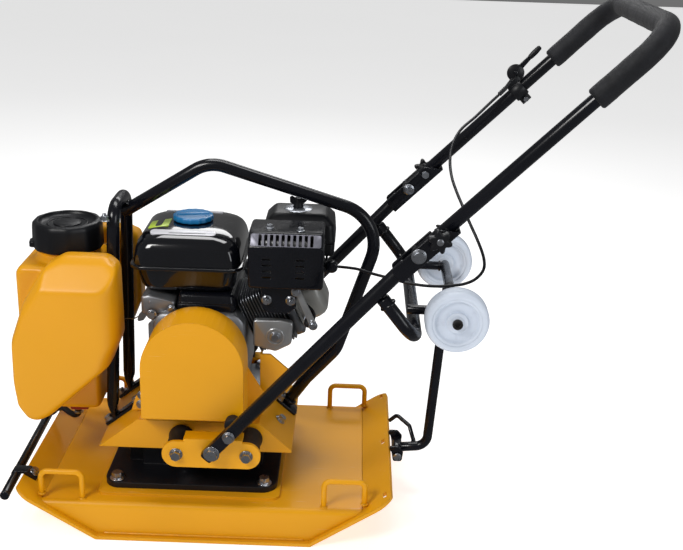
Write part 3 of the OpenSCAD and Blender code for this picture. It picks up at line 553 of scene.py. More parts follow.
def hexagon(bm, at, af, h, chamfer=0.16):
    """A hexagon head from local z 0 to h, with its chamfered crown."""
    r = af / math.sqrt(3)
    steps = 36
    rings = []
    for z, cap in ((0, 1.0), (0.12, 1.0), (1 - chamfer, 1.0), (1.0, 0.885)):
        pts = []
        for i in range(steps):
            a = 2 * math.pi * i / steps
            sector = (a + math.pi / 6) % (math.pi / 3) - math.pi / 6
            flat = af / 2 / math.cos(sector)
            pts.append(at @ polar(min(flat, r * cap if cap < 1 else flat), a, z * h))
        rings.append(ring(bm, pts))
    rings.append(ring(bm, [at @ polar(af * 0.36, 2 * math.pi * i / steps, h * 0.97) for i in range(steps)]))
    skin(bm, rings)


def bolt(bm, p, d, af, h, washer=True, stud=0.0, spring=False):
    """A bolt or nut standing on a face at p, pointing along d."""
    at = basis(p, d)
    base = 0.0
    if washer:
        disc(bm, at, af * 0.76, 1.4, 0.3, 36)
        base = 1.4
    if spring:
        disc(bm, at @ lift(base), af * 0.64, 1.6, 0.2, 30)
        base += 1.6
    hexagon(bm, at @ lift(base) @ spin(hash_turn(p)), af, h)
    if stud:
        r = af * 0.3
        profile = [(0, base), (r, base)]
        z = base + h
        while z < base + h + stud - 0.6:
            profile += [(r, z), (r * 0.9, z + 0.5)]
            z += 1.0
        profile += [(r * 0.8, base + h + stud), (0, base + h + stud)]
        lathe(bm, profile, at, 20)


def hash_turn(p):
    """A steady angle for each place, so no two bolt heads stand the same."""
    return (p[0] * 12.9898 + p[1] * 78.233 + p[2] * 3.7) % 1.0472


def weld(bm, path, r=1.9, seed=1):
    """A bumpy bead along a path."""
    path = resample([Vector(p) for p in path], 2.0)
    rng = random.Random(seed)
    wobble = [0.86 + 0.28 * abs(math.sin(i * 1.35)) + rng.uniform(-0.06, 0.06)
        for i in range(len(path) + 4)]

    def shape(s, total):
        i = min(len(path) - 1, int(s / max(total, 1e-6) * len(path)))
        return r * wobble[i], r * wobble[i]

    sweep(bm, path, r, 8, 0.6, shape)


def circle_path(at, r, a0=0.0, a1=360.0, n=24):
    return [at @ polar(r, math.radians(a0 + (a1 - a0) * i / n)) for i in range(n + 1)]


# ---------------------------------------------------------------- shared places (mm)

AXIS_X = -24
CRANK_Z = 280
EXC_Z = 118
BED_TOP = 174
BED_LOW = 122
HY = 185
UP = V(math.sqrt(0.5), 0, math.sqrt(0.5))
OUT = V(-math.sqrt(0.5), 0, math.sqrt(0.5))
BOLT_1 = V(14, 0, 160)
BOLT_2 = V(41, 0, 190)
PIN = V(322, 0, 503)
CORNER = V(657, 0, 838)
LOW = (PIN - BOLT_1).normalized()
KNOB = PIN + UP * 40
AXLE = V(390, 0, 382)
LIP_PIN = V(316, 0, 79)
FY = 25


def side(p, y):
    return V(p[0], y, p[2])


# ---------------------------------------------------------------- throttle cable

CABLE = [(468, 168, 677), (453, 160, 664), (428, 142, 643), (402, 120, 624), (387, 92, 603), (382, 60, 583),
    (384, 30, 564), (390, 0, 549), (398, -30, 534), (408, -58, 515), (421, -78, 491), (431, -87, 467),
    (432, -90, 448), (421, -90, 432), (404, -90, 423), (385, -89, 419), (360, -87, 416), (334, -84, 416),
    (307, -77, 418), (279, -60, 419), (255, -41, 418), (236, -22, 417), (218, -10, 415), (202.3, -7, 415)]


def make_cable():
    path = curve_through(CABLE, 5)
    bm = bmesh.new()
    sweep(bm, path, 2.45, 14, 0.4)
    made = piece("throttle_cable_sheath", bm, "black_plastic", None,
        hides=["throttle_cable"])
    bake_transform(made)


make_cable()


# ---------------------------------------------------------------- nodes that keep their own form

def finish_nodes():
    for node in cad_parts.values():
        for s in node.material_slots:
            look = s.material.name.split(".")[0] if s.material else ""
            if look in M:
                s.material = M[look]


finish_nodes()


# ---------------------------------------------------------------- roll frame

def make_roll_frame():
    bm = bmesh.new()
    sweep(bm, bent([(120, FY, 148), (152, FY, 194), (203, FY, 252), (279, FY, 490), (-14, FY, 578),
        (-158, FY, 487)], [40, 50, 70, 60], 14), 10.5, 32)
    slope = math.atan2(48, 54)
    off_rear = V(math.sin(slope), 0, math.cos(slope))

    def on_rear(x, y):
        """A place on the bed's rear slope."""
        return V(x, y, BED_TOP - (x - 82) * math.tan(slope))

    foot = basis(on_rear(118, FY), off_rear, (math.cos(slope), 0, -math.sin(slope)))
    stack(bm, rounded(rect(-24, 22, -17, 17), 6), [(0, 0), (4.4, 0), (5, 0.6)], foot)
    weld(bm, circle_path(basis((124, FY, 153), (32, 0, 46)), 11.6, n=26), 2.2, 3)
    weld(bm, [(-150, FY - 9, 503), (-149, FY, 502), (-150, FY + 9, 503)], 2.3, 4)
    weld(bm, [(-165, FY - 9, 496), (-166, FY, 495), (-165, FY + 9, 496)], 2.3, 5)
    piece("roll_hoop_tube", bm, "black_paint", "root", hides=["roll_hoop"])

    bm = bmesh.new()
    legs = [(-172, -27, 131), (-177, -27, 154), (-163, -25, 508), (-163, 75, 508), (-170, 77, 154),
        (-165, 77, 136)]

    def ends(s, total):
        k = min(1.0, max(0.0, min(s, total - s) - 10) / 26)
        k = k * k * (3 - 2 * k)
        return 4.2 + 6.3 * k, 12 - 1.5 * k, 4 - 2 * k

    sweep(bm, resample(bent(legs, [40, 30, 30, 40], 12), 6), 10.5, 32, 0.8, ends)
    rise = math.atan2(BED_TOP - BED_LOW, 66)
    along, off = V(math.cos(rise), 0, math.sin(rise)), V(-math.sin(rise), 0, math.cos(rise))
    for y in (-27, 77):
        stack(bm, rounded(rect(-4, 78, -13, 13), 6), [(0, 0), (4.4, 0), (5, 0.6)],
            basis((-184, y, BED_LOW), off, along))
    piece("hoop_leg_tube", bm, "black_paint", "root", hides=["hoop_legs"])

    bm = bmesh.new()
    for y in (-27, 77):
        for up in (4.5, 66):
            bolt(bm, V(-184, y, BED_LOW) + along * up + off * 5, off, 12.5, 6)
    for dy in (-11, 11):
        bolt(bm, on_rear(104, FY + dy) + off_rear * 5, off_rear, 10, 5, spring=True)
    bolt(bm, on_rear(112, -45), off_rear, 12, 6, spring=True)
    bolt(bm, (-174, -41, 491), (0, 0, 1), 11, 7, stud=4)
    piece("frame_hex_bolts", bm, "zinc_steel", "root", hides=["frame_bolts"])


# ---------------------------------------------------------------- handle

def clevis(bm):
    at = basis((PIN.x, HY, PIN.z), -Y, UP)
    wall = rounded([(-46, -15), (69.2, -15), (47.3, 11), (44.4, 11), (44.4, -4.4), (33.6, -4.4), (33.6, 11),
        (-46, 11)], [1, 3, 3, 1, 5.2, 5.2, 1, 6], 5)
    prism(bm, wall, 10.9, 15, at)
    prism(bm, wall, -15, -10.9, at)
    block(bm, (-46, -15, -14.8), (69, -11.4, 14.8), at)


def make_lower_handle():
    def ease(s):
        k = min(1.0, max(0.0, (s - 64) / 26))
        return k * k * (3 - 2 * k)

    def flat(s, total):
        k = ease(s)
        return 10.4 + 0.6 * k, 9.35 + 1.65 * k, 5 - 3 * k

    for name, sy in (("near", -1), ("far", 1)):
        bm = bmesh.new()
        foot, top = side(BOLT_1, HY) - LOW * 16, side(PIN, HY) - LOW * 24
        line = resample([foot, top], 5)
        line = [V(p.x, 183.05 + 1.95 * ease((p - foot).length), p.z) for p in line]
        sweep(bm, line, 11, 32, 1.4, flat)
        bmesh.ops.scale(bm, vec=(1, sy, 1), verts=bm.verts)
        piece("handle_lower_" + name, bm, "black_paint", "root", hides=["handle_tube_" + name])
        bm = bmesh.new()
        clevis(bm)
        bmesh.ops.scale(bm, vec=(1, sy, 1), verts=bm.verts)
        piece("handle_clevis_" + name, bm, "black_paint", "root", bevel=0.8)
        bm = bmesh.new()
        for y in (HY - 13, HY + 13):
            p = V(PIN.x, y, PIN.z) - UP * 42
            weld(bm, [p - OUT * 13, p + OUT * 8], 1.7, 7 + int(y))
        weld(bm, circle_path(basis(side(PIN, HY) - UP * 46 - OUT * 1.0, UP, -OUT), 11.2, -70, 70, 16), 1.8,
            9)
        bmesh.ops.scale(bm, vec=(1, sy, 1), verts=bm.verts)
        piece("handle_clevis_weld_" + name, bm, "black_paint", "root")

    bm = bmesh.new()
    sweep(bm, bent([(272, -HY, 430), (326, -HY, 362), (326, HY, 362), (272, HY, 430)], 34, 12), 10.5, 32)
    for sy in (-1, 1):
        at = basis((281, sy * 183, 419), (54, 0, -68))
        weld(bm, circle_path(at, 11.3, n=24), 2.1, 11 + sy)
    piece("handle_u_tube", bm, "black_paint", "root", hides=["handle_u_frame"])


def make_upper_handle():
    bm = bmesh.new()
    path = bent([(PIN.x, -HY, PIN.z), (CORNER.x, -HY, CORNER.z), (CORNER.x, HY, CORNER.z),
        (PIN.x, HY, PIN.z)], 58, 16)
    sweep(bm, path, 10.5, 32)
    for y in (-HY, HY):
        disc(bm, basis((PIN.x, y - 10.3, PIN.z), Y), 10.6, 20.6, 1.0, 36)
    piece("handle_upper_tube", bm, "black_paint", "upper_handle", hides=["handle_upper"])

    def foam(s, total):
        e = min(s, total - s)
        k = 1 - 0.05 * max(0.0, 1 - e / 7) ** 2
        w = 0.14 * math.sin(s * 0.11) + 0.1 * math.sin(s * 0.31 + 1)
        return (17.4 + w) * k, (17.4 + w) * k

    a = PIN + UP * 332
    bm = bmesh.new()
    path = bent([(a.x, -HY, a.z), (CORNER.x, -HY, CORNER.z), (CORNER.x, HY, CORNER.z), (a.x, HY, a.z)], 58,
        16)
    sweep(bm, resample(path, 7), 17.5, 36, 2.2, foam)
    piece("foam_grip_sleeve", bm, "foam", "upper_handle", hides=["foam_grip"])


def make_star_knobs():
    for name, sy in (("near", -1), ("far", 1)):
        at = basis((KNOB.x, sy * 200.4, KNOB.z), (0, sy, 0), UP)
        outline = [polar(15.2 + 3.3 * math.cos(6 * a), a) for a in (2 * math.pi * i / 96
            for i in range(96))]
        bm = bmesh.new()
        lathe(bm, [(0, 0), (9.4, 0), (10, 0.6), (10, 4.4), (11.5, 5.6), (0, 5.6)], at)
        stack(bm, outline, [(5, 2.6), (5.6, 1.0), (7, 0.2), (9, 0), (14.5, 0), (16.6, 0.7), (17.6, 2.2),
            (18, 4.4)], at)
        piece("star_knob_grip_" + name, bm, "black_plastic", "knob_" + name, hides=["star_knob_" + name])
        bm = bmesh.new()
        disc(bm, at @ lift(17.4), 5.2, 1.2, 0.4, 28)
        disc(bm, basis((KNOB.x, sy * 169.6, KNOB.z), (0, sy, 0)), 4, 31, 0.4, 24)
        hexagon(bm, basis((KNOB.x, sy * 169.5, KNOB.z), (0, -sy, 0)), 12, 5)
        piece("star_knob_stud_" + name, bm, "zinc_steel", "knob_" + name)


def make_handle_bolts():
    bm = bmesh.new()
    for sy in (-1, 1):
        for x in (-45, 67):
            bolt(bm, (x, sy * 173.6, 147), (0, sy, 0), 14, 7, spring=True)
        bolt(bm, (BOLT_1.x, sy * 192.4, BOLT_1.z), (0, sy, 0), 17, 7)
        bolt(bm, (BOLT_2.x, sy * 192.4, BOLT_2.z), (0, sy, 0), 13, 6, spring=True)
        disc(bm, basis((PIN.x, sy * 170, PIN.z), (0, sy, 0)), 4.9, 30, 0.3, 24)
        bolt(bm, (PIN.x, sy * 200.05, PIN.z), (0, sy, 0), 15, 6)
        bolt(bm, (PIN.x, sy * 169.95, PIN.z), (0, -sy, 0), 13, 6)
    piece("handle_hex_bolts", bm, "zinc_steel", "root", hides=["handle_bolts"])


def make_handle_buffers():
    bm, plates = bmesh.new(), bmesh.new()
    for sy in (-1, 1):
        for x in (-45, 67):
            at = basis((x, sy * 112.2, 147), (0, sy, 0))
            lathe(bm, [(0, 2), (21.2, 2), (21.4, 4), (20.4, 8), (19.6, 16), (19.4, 27), (19.6, 38),
                (20.4, 46), (21.4, 51), (21.2, 53.4), (0, 53.4)], at, 48)
            disc(plates, at, 20.6, 2.4, 0.5, 44)
            disc(plates, at @ lift(53), 20.6, 2.6, 0.5, 44)
        at = basis((44, sy * 148.4, 196), (0, sy, 0))
        lathe(bm, [(0, 0), (11, 0), (12.6, 1.6), (13, 5), (13, 14), (12.6, 17.4), (11, 19), (0, 19)], at,
            40)
        block(bm, (38, min(sy * 148.6, sy * 167.2), 175), (50, max(sy * 148.6, sy * 167.2), 187))
    piece("handle_rubber_buffers", bm, "dark_rubber", "root", hides=["handle_buffers"])
    piece("handle_buffer_plates", plates, "zinc_steel", "root")

    bm, plates = bmesh.new(), bmesh.new()
    for x in (-94, 58):
        for y in (-62, 62):
            at = basis((x, y, 130), Z)
            lathe(bm, [(0, 2.4), (18.5, 2.4), (19.6, 6), (19.2, 12), (18.6, 19), (19.2, 26), (19.6, 32),
                (18.5, 35.4), (0, 35.4)], at, 44)
            disc(plates, at, 19.8, 2.6, 0.5, 40)
            disc(plates, at @ lift(35.2), 19.8, 2.6, 0.5, 40)
    piece("bed_rubber_mounts", bm, "dark_rubber", "root", hides=["rubber_mounts"])
    piece("bed_mount_plates", plates, "zinc_steel", "root")


# ---------------------------------------------------------------- throttle lever

def make_throttle():
    pin = V(496, 185, 714)
    at = basis(V(503, 185, 684) - UP * 12, UP, Y)
    bm = bmesh.new()
    disc(bm, at, 15.6, 24, 1.4, 44, hole=10.55)
    stack(bm, rounded(rect(-6, 6, -25, -12), 2), soft_ends(3, 21, 1, 0.6), at)
    stack(bm, rounded(rect(-9, -2, 12, 22), 2), soft_ends(3, 28, 1, 0.6), at)
    house = basis((pin.x, 178.9, pin.z), Y)
    lathe(bm, [(0, 0), (13.6, 0), (15, 1.2), (15, 3.6), (14.2, 4.7), (0, 4.7)], house, 44)
    for a, b, r in (((480, 174, 688.5), (469, 168.6, 678), 4.1), ((480, 174, 688.5), (491, 181, 703), 3.4)):
        d = V(*b) - V(*a)
        n = int(d.length / 2)
        lathe(bm, [(0, 0)] + [(r * (1 if i % 2 else 0.84), i * d.length / n) for i in range(n + 1)]
            + [(0, d.length)], basis(a, d), 24)
    piece("throttle_clamp_body", bm, "black_plastic", "upper_handle", hides=["throttle_clamp"])
    bm = bmesh.new()
    d = basis(V(503, 185 - 9, 684) - OUT * 19.5, -Y)
    hexagon(bm, d, 8, 3.6)
    disc(bm, basis(V(503, 185 + 6, 684) - OUT * 19.5, Y), 4.4, 3, 0.8, 24)
    piece("throttle_clamp_screw", bm, "zinc_steel", "upper_handle")

    tip = pin + UP * 58 + OUT * 4
    along = (tip - pin).normalized()
    bm = bmesh.new()
    disc(bm, basis((pin.x, 184.05, pin.z), Y), 10, 4.8, 1.0, 40)
    disc(bm, basis((pin.x, 176.2, pin.z), Y), 3.9, 8, 0.4, 20)
    start = V(pin.x, 186.6, pin.z)

    def arm(s, total):
        return 5.2 - 2.0 * s / total, 1.5, 4

    sweep(bm, resample([start + along * 4, start + along * 44], 4), 5, 24, 0.4, arm)
    piece("throttle_lever_arm", bm, "black_paint", "throttle_lever", hides=["throttle_lever"])
    bm = bmesh.new()

    def grip(s, total):
        k = 0.78 + 0.22 * math.sin(math.pi * min(1, s / total * 0.9 + 0.08))
        return 5.0 * k, 4.3 * k, 2.3

    sweep(bm, resample([start + along * 34, start + along * 60], 2), 4.6, 24, 1.8, grip)
    piece("throttle_lever_grip", bm, "black_plastic", "throttle_lever")
    bm = bmesh.new()
    bolt(bm, (pin.x, 188.8, pin.z), Y, 9, 4.2)
    piece("throttle_lever_screw", bm, "zinc_steel", "throttle_lever")


# ---------------------------------------------------------------- water system

LOBE_LEVELS = [(0, 7), (1.5, 3), (5, 0.6), (10, 0), (28, 0), (40, 0.3), (48, 1.6), (55, 4.4), (61, 8.8),
    (66, 15), (69, 21), (70.5, 28)]


def make_water_tank():
    lobe = rounded([(-166, 440), (-235, 440), (-262, 425), (-300, 366), (-321, 306), (-322, 232),
        (-317, 186), (-300, 160), (-284, 156), (-264, 166), (-212, 214), (-166, 256), (-146, 306),
        (-148, 425)], 14, 5)
    bm = bmesh.new()
    for sy in (-1, 1):
        rings = []
        for dy, inset in LOBE_LEVELS:
            k = 1 - inset / 150
            top = 446 if dy < 28 else 446 - (dy - 28) * 54 / 42
            y = FY + sy * (65.5 + dy)
            rings.append(ring(bm, [V(-296 + (p.x + 296) * k, y, min(top, 215 + (p.y - 215) * k))
                for p in lobe]))
        skin(bm, rings)
    middle = rounded([(-196, 408), (-318, 408), (-326, 398), (-326, 300), (-300, 190), (-276, 153),
        (-196, 153)], [8, 8, 8, 24, 24, 16, 8], 5)
    stack(bm, middle, [(FY - 68, 4), (FY - 60, 0), (FY, 0), (FY + 60, 0), (FY + 68, 4)], XZ)
    disc(bm, basis((-252, FY, 395), Z), 53, 38, 2, 64)
    piece("water_tank_body", bm, "yellow_plastic", "root", hides=["water_tank"], remesh=(2.6, 14, 0.6))

    bm = bmesh.new()
    disc(bm, basis((-252, FY, 420), Z), 53, 22, 1.5, 72)
    for z in (431, 437):
        disc(bm, basis((-252, FY, z), Z), 54.6, 2.2, 0.8, 72)
    piece("water_tank_neck", bm, "yellow_plastic", "root")

    at = basis((-252, FY, 426), Z)
    bm = bmesh.new()
    outline = []
    for i in range(72):
        a = 2 * math.pi * i / 72
        off = (a + math.pi / 12) % (math.pi / 6) - math.pi / 12
        r = min(58.5, 57.2 / math.cos(off))
        outline.append(polar(r, a))
    stack(bm, outline, [(0, 1.2), (1.4, 0), (10, 0), (36, 0.8), (42, 1.6), (44.6, 3.6), (45.8, 7)], at)
    tab = at @ spin(math.radians(190))
    stack(bm, rounded(rect(50, 63.5, -13, 13), [0, 6, 6, 0]), [(0.6, 0.6), (1.4, 0), (9, 0), (10, 0.8)],
        tab)
    cut = bmesh.new()
    lathe(cut, [(0, 38.4), (40, 38.4), (43.5, 39.6), (45.6, 42), (47, 45), (47.4, 60), (0, 60)], at, 72)
    piece("water_cap_shell", bm, "black_plastic", "water_cap", hides=["water_cap"], bevel=0.5, cut=cut)
    bm = bmesh.new()
    lathe(bm, [(0, 38), (22, 38), (23, 38.6), (22.4, 40), (18, 41.4), (0, 41.6)], at, 48)
    lathe(bm, [(31, 38), (34, 38), (34, 39.2), (33.4, 39.8), (31.6, 39.8), (31, 39.2)], at, 56, closed=True)
    piece("water_cap_ribs", bm, "black_plastic", "water_cap")


def make_water_line():
    bm = bmesh.new()
    at = basis((-252, 25, 118), Z)
    lathe(bm, [(0, 0), (5.4, 0), (6.2, 1.4), (5.2, 2), (6.2, 3.6), (5.2, 4.2), (6.2, 6), (5.4, 7), (6, 9),
        (7.4, 10), (9, 11.5), (9, 24), (8.2, 26), (7.6, 30), (7.6, 35.5), (0, 35.5)], at, 36)
    hexagon(bm, at @ lift(27), 17.4, 6)
    lathe(bm, [(3.1, 0), (4.6, 0), (5, 0.6), (5, 8), (4.4, 9), (3.1, 9)], basis((-252, 9, 138), (0, 1, 0)),
        28, closed=True)
    piece("tap_brass_body", bm, "brass", "root", hides=["tap_body"])
    bm = bmesh.new()
    disc(bm, basis((-252, -3, 138), Y), 3, 13, 0.4, 20)
    outline = rounded([(-5, -5), (8, -5), (27, -3.4), (27, 3.4), (8, 5), (-5, 5)], [4.6, 4, 3, 3, 4, 4.6],
        5)
    stack(bm, outline, soft_ends(-26, -22, 0.8, 0.6), Matrix.Translation(V(-252, 19, 138)) @ XZ)
    piece("tap_lever_handle", bm, "red_plastic", "tap_lever", hides=["tap_lever"])

    hose = curve_through([(-252, 25, 118), (-253, 26, 109), (-260, 30, 104), (-272, 40, 103),
        (-284, 50, 105), (-295, 58, 104), (-303, 62, 98)], 8)
    bm = bmesh.new()
    sweep(bm, hose, 5.2, 24, 0.5)
    piece("water_hose_tube", bm, "dark_rubber", "root", hides=["water_hose"])
    bm = bmesh.new()
    for p, d in ((V(-252.3, 25, 116), V(-0.05, 0, -1)), (V(-299, 60, 101), V(-0.75, 0.4, -0.5))):
        at = basis(p, d)
        disc(bm, at, 6.4, 5, 0.5, 28, hole=5.1)
        block(bm, (5.6, -3, 0.4), (9.4, 3, 4.6), at)
    piece("water_hose_clips", bm, "zinc_steel", "root", bevel=0.4)

    near, far = V(-313, -212, 82), V(-322, 190, 82)
    along = (far - near).normalized()
    bm = bmesh.new()
    sweep(bm, [near + along * 2, far - along * 2], 7.2, 30, 0.6)
    for p, d in ((near, along), (far, -along)):
        disc(bm, basis(p, d), 7.5, 7, 1.2, 30)
    for y in (-138, 138):
        x = near.x + (y - near.y) / (far.y - near.y) * (far.x - near.x)
        plate = rounded([(x - 7, 80), (x - 7, 89.6), (x + 2, 90), (-293, 90), (-279.4, 77.5), (-282, 73.2),
            (-299, 84), (-300, 86), (x + 4, 86), (x + 7, 82)], [3, 5, 3, 3, 0.5, 0.5, 1, 1, 3, 2], 4)
        stack(bm, plate, soft_ends(y - 10, y + 10, 0.6, 0.3), XZ)
    lathe(bm, [(0, 0), (5.4, 0), (6, 1), (5, 2), (6, 4), (5, 5), (6, 7), (6.4, 9), (6.4, 16), (0, 16)],
        basis((-301, 61, 99.4), (-16, 8, -16)), 28)
    piece("spray_tube", bm, "black_paint", "root", hides=["spray_bar"])
    # Dark discs under the spray tube: painted shade standing in for its spray holes.
    bm = bmesh.new()
    for i in range(22):
        p = near.lerp(far, (i + 1) / 23) + V(-2.2, 0, -6.9)
        disc(bm, basis(p, (-0.3, 0, -1)), 1.1, 0.5, 0.1, 12)
    piece("spray_tube_hole_shade", bm, "painted_hole_shade", "root")
    bm = bmesh.new()
    for y in (-138, 138):
        bolt(bm, (-287.6, y, 83), (0.53, 0, 0.848), 11, 5.5, spring=True)
    piece("spray_tube_bolts", bm, "zinc_steel", "root")


# ---------------------------------------------------------------- transport wheels

def make_wheels():
    h = 17
    profile = [(6.05, -h), (10.5, -h), (11, -h + 0.5), (11, -h + 1.6), (16.4, -h + 1.6), (17, -h + 2.4),
        (17.4, -h + 7.2), (19, -h + 8.4), (31.4, -h + 8.4), (33, -h + 7.4), (34.4, -h + 3.2),
        (36, -h + 2.2), (38.6, -h + 2.2), (39, -h + 1.2), (40.2, -h + 0.4), (44.6, -h + 0.1), (47, -h + 1),
        (49, -h + 3.4), (49.9, -h + 6.4), (50, -h + 9), (49.7, -h + 9.4), (50, -h + 9.8), (50, h - 6.4),
        (49, h - 3.4), (47, h - 1), (44.6, h - 0.1), (40.2, h - 0.4), (39, h - 1.2), (38.6, h - 2.2),
        (36, h - 2.2), (34.4, h - 3.2), (33, h - 7.4), (31.4, h - 8.4), (19, h - 8.4), (17.4, h - 7.2),
        (17, h - 2.4), (16.4, h - 1.6), (11, h - 1.6), (11, h - 0.5), (10.5, h), (6.05, h)]
    for name, sy in (("near", -1), ("far", 1)):
        bm = bmesh.new()
        lathe(bm, profile, basis((AXLE.x, sy * 141, AXLE.z), (0, -sy, 0)), 96, closed=True)
        piece("wheel_disc_" + name, bm, "white_nylon", "wheel_" + name, hides=["wheel_" + name])

    bm, nuts = bmesh.new(), bmesh.new()
    for sy in (-1, 1):
        disc(nuts, basis((AXLE.x, sy * 96, AXLE.z), (0, sy, 0)), 5, 63, 0.3, 24)
        disc(nuts, basis((AXLE.x, sy * 118, AXLE.z), (0, sy, 0)), 5.98, 40.6, 0.3, 28)
        at = basis((AXLE.x, sy * 158.8, AXLE.z), (0, sy, 0))
        lathe(nuts, [(0, 0), (7.6, 0), (8, 0.5), (8, 5.2), (7.2, 6), (4.2, 6), (4.2, 2.6), (0, 2.6)], at,
            36)
    piece("wheel_axle_bolts", nuts, "dark_steel", "wheel_frame", hides=["wheel_axles"])

    sweep(bm, [(AXLE.x, -118, AXLE.z), (AXLE.x, 118, AXLE.z)], 8.5, 30, 1)
    leg = bent([(LIP_PIN.x + 2, 0, LIP_PIN.z), (368, 0, 84), (AXLE.x - 4, 0, AXLE.z)], 22, 12)
    sweep(bm, leg, 8.2, 30, 1)
    for y in (-108, 108):
        sweep(bm, [(314, y, 384), (AXLE.x - 2, y, 382.5)], 7.5, 26, 1)
        weld(bm, circle_path(basis((AXLE.x - 10, y, 382.6), X), 7.9, n=20), 1.7, 21)
    weld(bm, circle_path(basis((AXLE.x - 4, 0, AXLE.z - 11), (0.08, 0, -1)), 8.7, n=20), 1.9, 22)
    disc(bm, basis((LIP_PIN.x, -26, LIP_PIN.z), Y), 9, 52, 0.8, 32)
    sweep(bm, bent([(346, 4, 88), (338, 26, 108), (316, 46, 118), (303, 50, 104)], 8, 8), 3.6, 18, 0.6)
    weld(bm, [(340, 8, 80), (344, 9, 88), (348, 9, 92)], 1.8, 23)
    piece("wheel_frame_tubes", bm, "black_paint", "wheel_frame", hides=["wheel_frame"])

    bm = bmesh.new()
    ear = rounded([(301.4, 92), (305.6, 85.4), (309, 68), (324, 68), (326, 86), (318, 96), (304, 96)],
        [1, 1, 4, 5, 5, 6, 2], 4)
    for y in (-32, 27):
        stack(bm, ear, soft_ends(y, y + 5, 0.5, 0.4), XZ)
    piece("lip_hinge_ears", bm, "black_paint", "root", hides=["lip_hinge"])
    bm = bmesh.new()
    disc(bm, basis((LIP_PIN.x, -36, LIP_PIN.z), Y), 3.95, 72, 0.6, 24)
    disc(bm, basis((LIP_PIN.x, -37.5, LIP_PIN.z), Y), 7, 3, 0.8, 28)
    disc(bm, basis((LIP_PIN.x, 33, LIP_PIN.z), Y), 6.4, 1.4, 0.4, 28)
    sweep(bm, bent([(312, 35.2, 73), (316, 35.2, 88), (321, 35.2, 73)], 2.4, 5), 0.9, 10, 0.2)
    piece("lip_hinge_pin", bm, "zinc_steel", "root")


# ---------------------------------------------------------------- base details

def make_base_details():
    bm = bmesh.new()
    for sy in (-1, 1):
        for x, reach, za, zb in ((-264, 66, 65, 58), (193, 66, 58, 66)):
            line = [(x, sy * 176, za), (x, sy * 176, 109), (x + reach, sy * 176, 109),
                (x + reach, sy * 176, zb)]
            sweep(bm, bent(line, 11, 8), 4.5, 22, 0.5)
            for dx, z in ((0, za + 4), (reach, zb + 4)):
                weld(bm, circle_path(basis((x + dx, sy * 176, z), Z), 5.2, n=14), 1.6, 31 + dx)
    piece("lifting_staple_rods", bm, "yellow_paint", "root", hides=["lifting_staples"])
    bm = bmesh.new()
    for sy in (-1, 1):
        weld(bm, [(-163, sy * 190.6, 7.5), (-60, sy * 190.8, 7.5), (60, sy * 190.6, 7.5),
            (161, sy * 190.6, 7.5)], 2.1, 41)
    piece("deck_weld_beads", bm, "weld_yellow", "root")


def make_bed_fasteners():
    bm = bmesh.new()
    for x in (-108, 67):
        for y in (-60, 88):
            bolt(bm, (x, y, 186), Z, 13, 6, spring=True)
    for x in (-150, 93):
        for y in (-133, 133):
            bolt(bm, (x, y, 76), Z, 16, 8, spring=True)
    for a in (45, 135, 225, 315):
        c, s = 36 * math.cos(math.radians(a)), 36 * math.sin(math.radians(a))
        bolt(bm, (AXIS_X + c, -82, EXC_Z + s), -Y, 9, 3.6, spring=False)
        bolt(bm, (AXIS_X + c, 102, EXC_Z + s), Y, 9, 3.2, spring=False)
    piece("bed_hex_bolts", bm, "zinc_steel", "root", hides=["bed_fasteners"])


make_roll_frame()
make_lower_handle()
make_upper_handle()
make_star_knobs()
make_handle_bolts()
make_handle_buffers()
make_throttle()
make_water_tank()
make_water_line()
make_wheels()
make_base_details()
make_bed_fasteners()


# ---------------------------------------------------------------- engine

CYL = Matrix.Translation(V(AXIS_X, 15, CRANK_Z)) @ Matrix.Rotation(math.radians(-25), 4, "Y")
CYL_X = CYL @ Matrix(((0, 0, 1, 0), (1, 0, 0, 0), (0, 1, 0, 0), (0, 0, 0, 1)))


